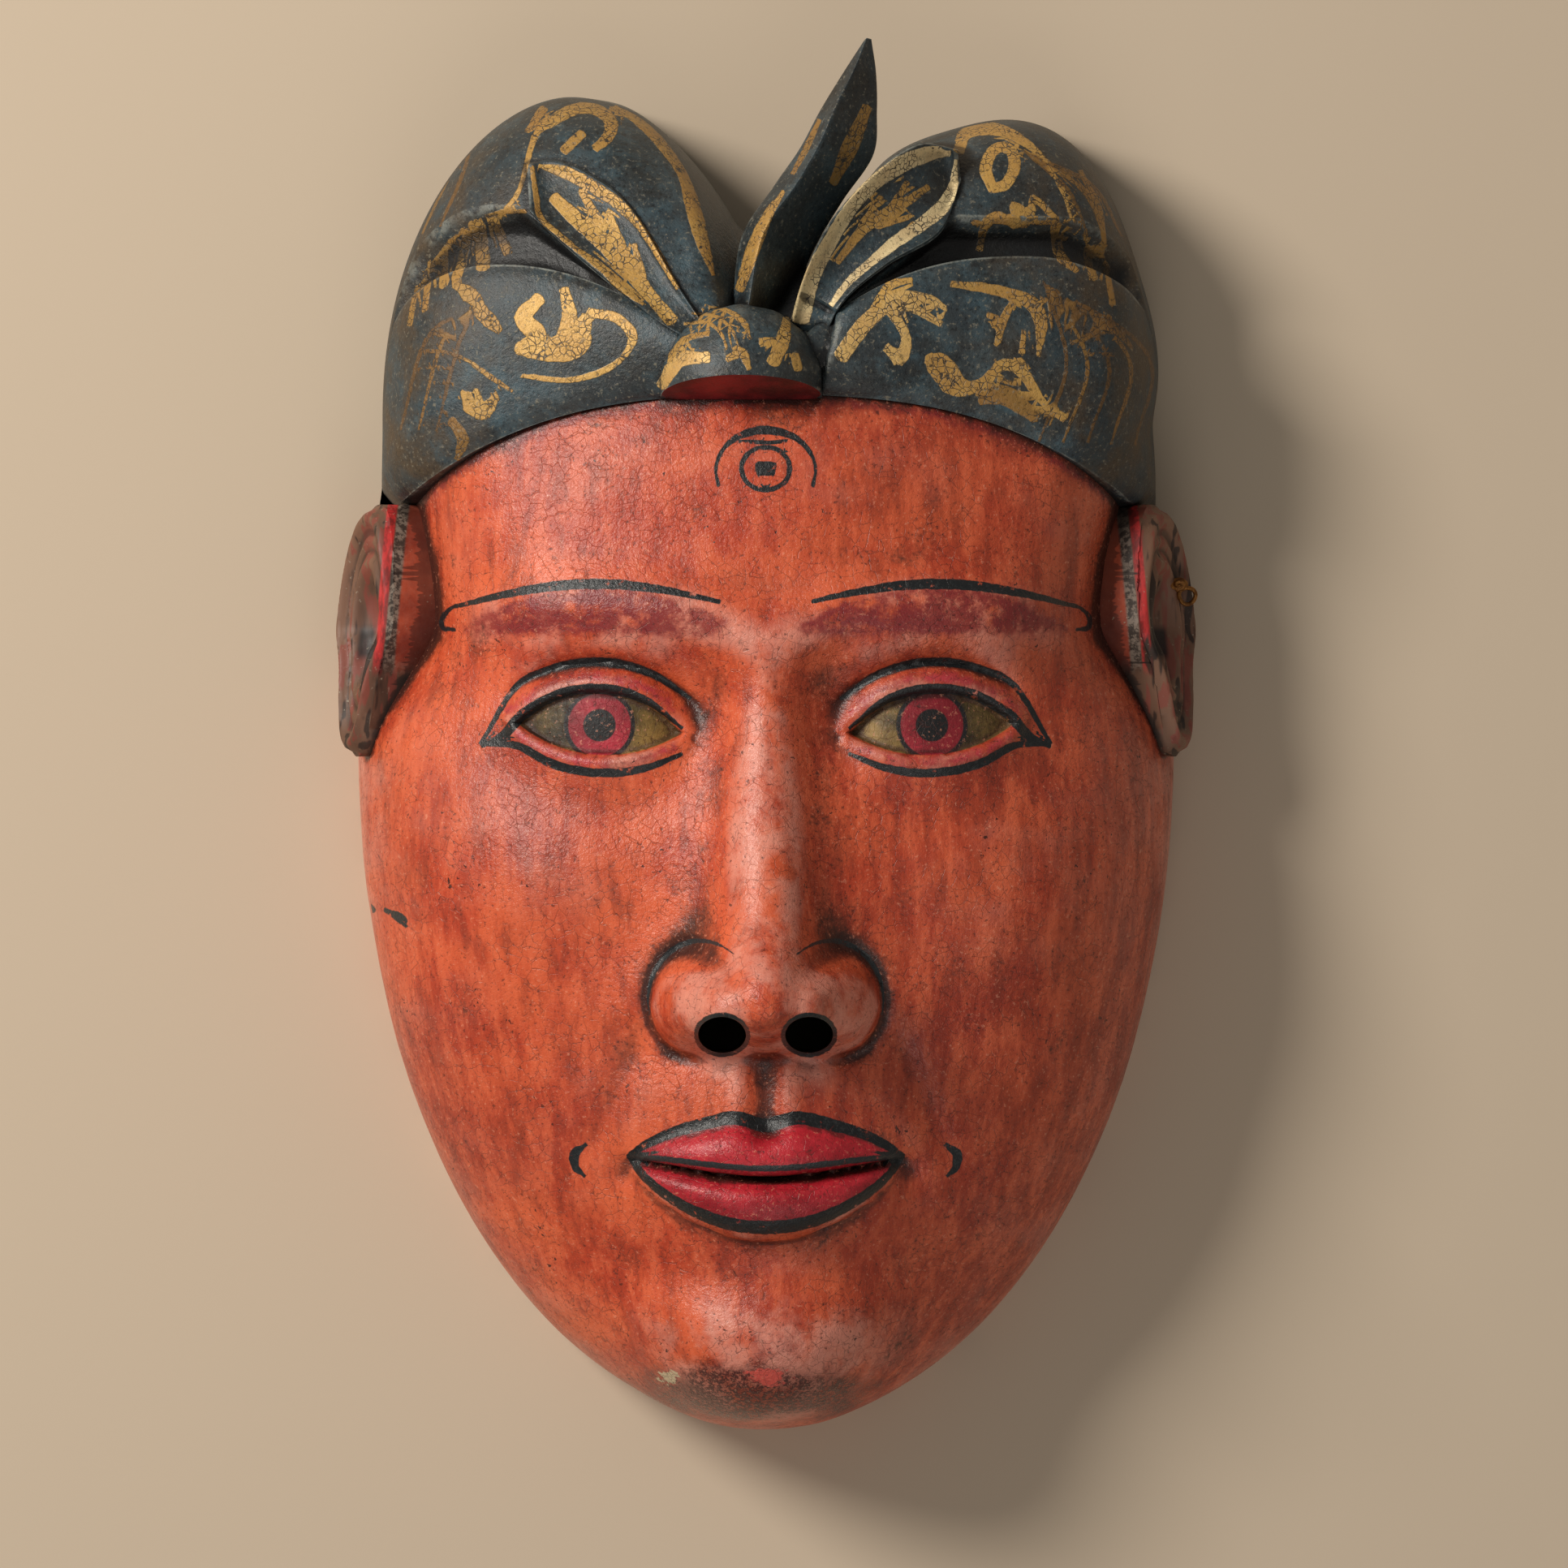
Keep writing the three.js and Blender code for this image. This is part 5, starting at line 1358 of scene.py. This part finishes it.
def build_mask(sizes, paints):
    """One block of wood: head, headcloth, leaves, knob, horn and ears, hollowed from behind."""
    lacquer, paint, bare = lacquer_material(paints), headcloth_material(paints), hollow_material(paints)
    head = sheet_solid("head", head_sheet(sizes.head_columns, sizes.head_rows), (0, 0, 0), lacquer)
    cloth = sheet_solid("cloth", cloth_sheet(sizes.cloth_columns), (0, CLOTH_FOOT_Y, 0), paint)
    leaves = [sheet_solid(f"leaf {i}", *leaf_sheet(*leaf), paint) for i, leaf in enumerate(LEAVES)]
    knob = ring_solid("knob", knob_rings(in_mm(sizes.knob_height)), paint)
    horn = ring_solid("horn", horn_rings(in_mm(sizes.horn_thickness)), paint)
    ear_wood = ear_material()
    ears = [sheet_solid(f"ear {side}", *ear_sheet(side), ear_wood) for side in (-1, 1)]
    hollow = sheet_solid("hollow", hollow_sheet(sizes.hollow_stations, in_mm(sizes.wall)), (0, 0, -6), bare)
    nostrils = [ring_solid(f"nostril {side}", nostril_rings(side), bare) for side in (-1, 1)]
    mesh = carved_together(head, [cloth, *leaves, knob, horn, *ears], [hollow, *nostrils])
    mesh.name = "carved mask"
    tidy_mesh(mesh)
    mesh.materials.append(oxblood_material())
    set_finishes(mesh, [material.name for material in mesh.materials])
    add_looks(mesh)
    return mesh


def tidy_mesh(mesh):
    """Merges doubled points, splits every face into triangles and shades smooth between creases."""
    shape = bmesh.new()
    shape.from_mesh(mesh)
    bmesh.ops.remove_doubles(shape, verts=shape.verts, dist=MERGE_DISTANCE)
    bmesh.ops.dissolve_degenerate(shape, edges=shape.edges, dist=MERGE_DISTANCE)
    bmesh.ops.triangulate(shape, faces=shape.faces)
    shape.to_mesh(mesh)
    shape.free()
    mesh.shade_smooth()
    mesh.set_sharp_from_angle(angle=math.radians(CREASE_ANGLE))


def set_finishes(mesh, names):
    """Bare wood on the flat rim behind, dark red on the flat underside of the knob, and the
    headcloth's paint on what little of the head shows in its notch."""
    count = len(mesh.polygons)
    normal, centre = np.empty(count * 3, np.float32), np.empty(count * 3, np.float32)
    mesh.polygons.foreach_get("normal", normal)
    mesh.polygons.foreach_get("center", centre)
    normal, centre = normal.reshape(-1, 3), centre.reshape(-1, 3) / MM
    slot = np.empty(count, np.int32)
    mesh.polygons.foreach_get("material_index", slot)
    slot[(centre[:, 1] > CLOTH_FOOT_Y) & (slot == names.index(LACQUER))] = names.index(CLOTH_PAINT)
    slot[(normal[:, 2] < LEVEL_DOWN) & (centre[:, 2] < RIM_TOP_Z)] = names.index(HOLLOW_WOOD)
    away = (centre[:, :2] - np.array(KNOB_MIDDLE, np.float32)) / np.array(UNDER_KNOB_HALF, np.float32)
    under = (np.hypot(*away.T) < 1) & (normal[:, 1] < LEANING_DOWN) & (centre[:, 2] > UNDER_KNOB_Z)
    under &= slot == names.index(CLOTH_PAINT)
    slot[under] = names.index(OXBLOOD)
    mesh.polygons.foreach_set("material_index", slot)


def finished_piece(name, mesh, node):
    """Links a mesh as a piece that stands for a part of the frame and moves with it."""
    piece = bpy.data.objects.new(name, mesh)
    bpy.context.scene.collection.objects.link(piece)
    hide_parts(node)
    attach(piece, "root")


LOOP_RADIUS = 1.5
KNOT_HALF = (1.8, 1.4)


def wire_loop_rings(low, high, count=72, around=14):
    """A round section carried round a circle in the plane of X and Y; the wire wanders a little."""
    wire = (high[2] - low[2]) * 0.2
    radius = min(LOOP_RADIUS, (high[0] - low[0]) / 2 - wire)
    middle = np.array([high[0] - radius - wire, low[1] + radius + wire, (low[2] + high[2]) / 2])
    turn = np.linspace(0, 2 * np.pi, count, endpoint=False)[:, None]
    round_wire = np.linspace(0, 2 * np.pi, around, endpoint=False)[None]
    reach = radius + 0.06 * np.sin(3 * turn) + wire * np.cos(round_wire)
    height = 0.1 * np.sin(2 * turn) + wire * np.sin(round_wire)
    return middle + np.stack([reach * np.cos(turn), reach * np.sin(turn), height + 0 * reach], -1)


def closed_ring(name, rings, material):
    """A tube that closes on itself: the last ring joins the first."""
    rows, count = rings.shape[:2]
    index = np.arange(rows * count).reshape(rows, count)
    ahead, beside = np.roll(index, -1, 0), np.roll(index, -1, 1)
    quads = np.stack([index, beside, np.roll(beside, -1, 0), ahead], -1).reshape(-1, 4)
    return closed_object(name, rings.reshape(-1, 3), quads, np.empty((0, 3), int), material)


def knot_rings(low, high, rows=24, around=28):
    """A small wrapped knot of wire: a ball whose surface is wound with a spiral ridge."""
    middle = np.array([low[0] + 0.9, high[1] + 0.2, (low[2] + high[2]) / 2])
    fall = np.linspace(0, np.pi, rows + 2)[1:-1, None]
    turn = np.linspace(0, 2 * np.pi, around, endpoint=False)[None]
    reach = 0.9 + 0.1 * np.cos(9 * fall + turn)
    x = KNOT_HALF[0] * reach * np.sin(fall) * np.cos(turn)
    y = KNOT_HALF[1] * reach * np.sin(fall) * np.sin(turn)
    return middle + np.stack([x, y, KNOT_HALF[1] * reach * np.cos(fall)], -1)


def build_wire_loop(paints):
    """The ring and its knot, joined into one small piece."""
    low, high = (np.array(corner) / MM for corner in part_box("ear_wire_loop"))
    material = wire_material(paints)
    ring = closed_ring("ring", wire_loop_rings(low, high), material)
    knot = ring_solid("knot", knot_rings(low, high), material)
    mesh = carved_together(ring, [knot], [])
    mesh.name = "wire loop"
    tidy_mesh(mesh)
    return mesh


# ---------------------------------------------------------------- stage
MASK_MIDDLE = (0, 0, 0.03)


def floor_material(shade):
    """Matt pale paper with a faint tooth."""
    material, r = new_material("pale floor")
    finish(r, shade, 0.85, r.noise(r.place(), 300, 3, 0.5), strength=0.05)
    return material


def add_light(name, place, size, power, tint):
    """A round soft light that shines on the middle of the mask."""
    lamp = bpy.data.lights.new(name, "AREA")
    lamp.shape = "DISK"
    lamp.size, lamp.energy, lamp.color = size, power, tint
    light = bpy.data.objects.new(name, lamp)
    light.location = place
    light.rotation_euler = (Vector(MASK_MIDDLE) - Vector(place)).to_track_quat("-Z", "Y").to_euler()
    bpy.context.scene.collection.objects.link(light)


def build_stage(stage):
    """A wide pale floor under the mask, soft light from the upper left and a camera looking down."""
    half = stage.floor_width / 2
    mesh = bpy.data.meshes.new("floor")
    corners = [(-half, -half, 0), (half, -half, 0), (half, half, 0), (-half, half, 0)]
    mesh.from_pydata(corners, [], [(0, 1, 2, 3)])
    mesh.materials.append(floor_material(tuple(stage.floor_colour)))
    floor = bpy.data.objects.new("floor", mesh)
    bpy.context.scene.collection.objects.link(floor)
    add_light("key", (-0.80, 0.50, 0.85), 0.45, stage.key_power, (1.0, 0.95, 0.88))
    add_light("fill", (0.1, -0.9, 1.1), 0.8, stage.key_power * 0.18, (1.0, 0.97, 0.92))
    world = bpy.data.worlds.new("room")
    world.use_nodes = True
    background = world.node_tree.nodes["Background"].inputs
    background["Color"].default_value = (1.0, 0.96, 0.9, 1)
    background["Strength"].default_value = stage.room_light
    bpy.context.scene.world = world
    lens = bpy.data.cameras.new("camera")
    lens.sensor_width = 36.0
    lens.lens = lens.sensor_width * stage.camera_distance / stage.view_width
    camera = bpy.data.objects.new("camera", lens)
    camera.location = (stage.aim[0], stage.aim[1], stage.aim[2] + stage.camera_distance)
    bpy.context.scene.collection.objects.link(camera)
    bpy.context.scene.camera = camera
    bpy.context.scene.view_settings.view_transform = "Standard"


# ---------------------------------------------------------------- add-on classes
class MaskSizes(bpy.types.PropertyGroup):
    """Sizes of the carving, and how finely it is worked."""

    wall: FloatProperty(name="Wall", description="Wood left between the dome and the hollow",
                        default=0.010, min=0.006, max=0.014, unit="LENGTH")
    knob_height: FloatProperty(name="Knob height", description="How far the knob stands out",
                               default=0.013, min=0.008, max=0.018, unit="LENGTH")
    horn_thickness: FloatProperty(name="Horn thickness", description="Front to back at the horn's foot",
                                  default=0.017, min=0.010, max=0.022, unit="LENGTH")
    head_columns: IntProperty(name="Head columns", description="Stations across the face",
                              default=234, min=40)
    head_rows: IntProperty(name="Head rows", description="Stations up the face",
                           default=244, min=40)
    cloth_columns: IntProperty(name="Cloth columns", description="Stations round the headcloth",
                               default=240, min=40)
    hollow_stations: IntProperty(name="Hollow stations", description="Stations each way over the hollow",
                                 default=96, min=20)


def paint_property(title, description, code):
    """A colour that a user can change, with its default as a six-figure code."""
    return FloatVectorProperty(name=title, description=description, default=colour(code), size=4,
                               min=0.0, max=1.0, subtype="COLOR")


class MaskPaints(bpy.types.PropertyGroup):
    """Main colours of the paints, the bare wood and the wire."""

    lacquer_dark: paint_property("Lacquer, dark", "Darker red of the face", "bb3f22")
    lacquer_light: paint_property("Lacquer, light", "Lighter red of the face", "dc6138")
    lips: paint_property("Lips", "Brighter red of the lips", "c62a36")
    cloth_dark: paint_property("Headcloth, dark", "Darker blue-black of the headcloth", "1b2123")
    cloth_light: paint_property("Headcloth, light", "Lighter blue-black of the headcloth", "2b383f")
    gold_dull: paint_property("Gold, dull", "Worn gold at the sides", "74501f")
    gold_bright: paint_property("Gold, bright", "Bright gold in the middle", "e6b866")
    bare_wood: paint_property("Bare wood", "Lighter wood of the rim and the hollow", "8f6a45")
    brass: paint_property("Wire", "Rubbed brass of the loop", "bb8244")


class StageSizes(bpy.types.PropertyGroup):
    """Light, floor and camera."""

    floor_colour: paint_property("Floor colour", "Shade of the floor", "cdbba4")
    floor_width: FloatProperty(name="Floor width", description="Side of the square floor",
                               default=6.0, unit="LENGTH")
    key_power: FloatProperty(name="Key light", description="Power of the main light",
                             default=14.0, unit="POWER")
    room_light: FloatProperty(name="Room light", description="Strength of the light all round",
                              default=0.20)
    camera_distance: FloatProperty(name="Camera distance", description="Height of the camera over its aim",
                                   default=2.6, unit="LENGTH")
    view_width: FloatProperty(name="View width", description="Width seen at the outline", default=0.288,
                              unit="LENGTH")
    aim: FloatVectorProperty(name="Aim", description="Place that the camera looks straight down on",
                             default=(0.0033, -0.010, 0.008), subtype="TRANSLATION")


class MASK_OT_carve(bpy.types.Operator):
    """Carves the wooden mask and paints it"""

    bl_idname = "mask.carve"
    bl_label = "Carve mask"

    def execute(self, context):
        mesh = build_mask(context.scene.mask_sizes, context.scene.mask_paints)
        finished_piece("carved_mask", mesh, "mask")
        return {"FINISHED"}


class MASK_OT_wire_loop(bpy.types.Operator):
    """Bends the small wire loop in the ear"""

    bl_idname = "mask.wire_loop"
    bl_label = "Bend wire loop"

    def execute(self, context):
        mesh = build_wire_loop(context.scene.mask_paints)
        finished_piece("ear_wire_ring", mesh, "ear_wire_loop")
        return {"FINISHED"}


class MASK_OT_stage(bpy.types.Operator):
    """Lays out the floor, the lights and the camera"""

    bl_idname = "mask.stage"
    bl_label = "Set the stage"

    def execute(self, context):
        build_stage(context.scene.mask_stage)
        return {"FINISHED"}


class MASK_PT_panel(bpy.types.Panel):
    """The steps, in order"""

    bl_label = "Mask"
    bl_idname = "MASK_PT_panel"
    bl_space_type = "VIEW_3D"
    bl_region_type = "UI"
    bl_category = "Mask"

    def draw(self, context):
        for operator in OPERATORS:
            self.layout.operator(operator.bl_idname)
        for name in GROUPS:
            group = getattr(context.scene, name)
            box = self.layout.box()
            for key in type(group).__annotations__:
                box.prop(group, key)


OPERATORS = (MASK_OT_carve, MASK_OT_wire_loop, MASK_OT_stage)
GROUPS = {"mask_sizes": MaskSizes, "mask_paints": MaskPaints, "mask_stage": StageSizes}
CLASSES = (*GROUPS.values(), *OPERATORS, MASK_PT_panel)


def register():
    for item in CLASSES:
        bpy.utils.register_class(item)
    for name, group in GROUPS.items():
        setattr(bpy.types.Scene, name, PointerProperty(type=group))


def unregister():
    for name in GROUPS:
        delattr(bpy.types.Scene, name)
    for item in reversed(CLASSES):
        bpy.utils.unregister_class(item)


def main():
    register()
    bpy.ops.mask.carve()
    bpy.ops.mask.wire_loop()
    bpy.ops.mask.stage()


if __name__ == "__main__":
    main()
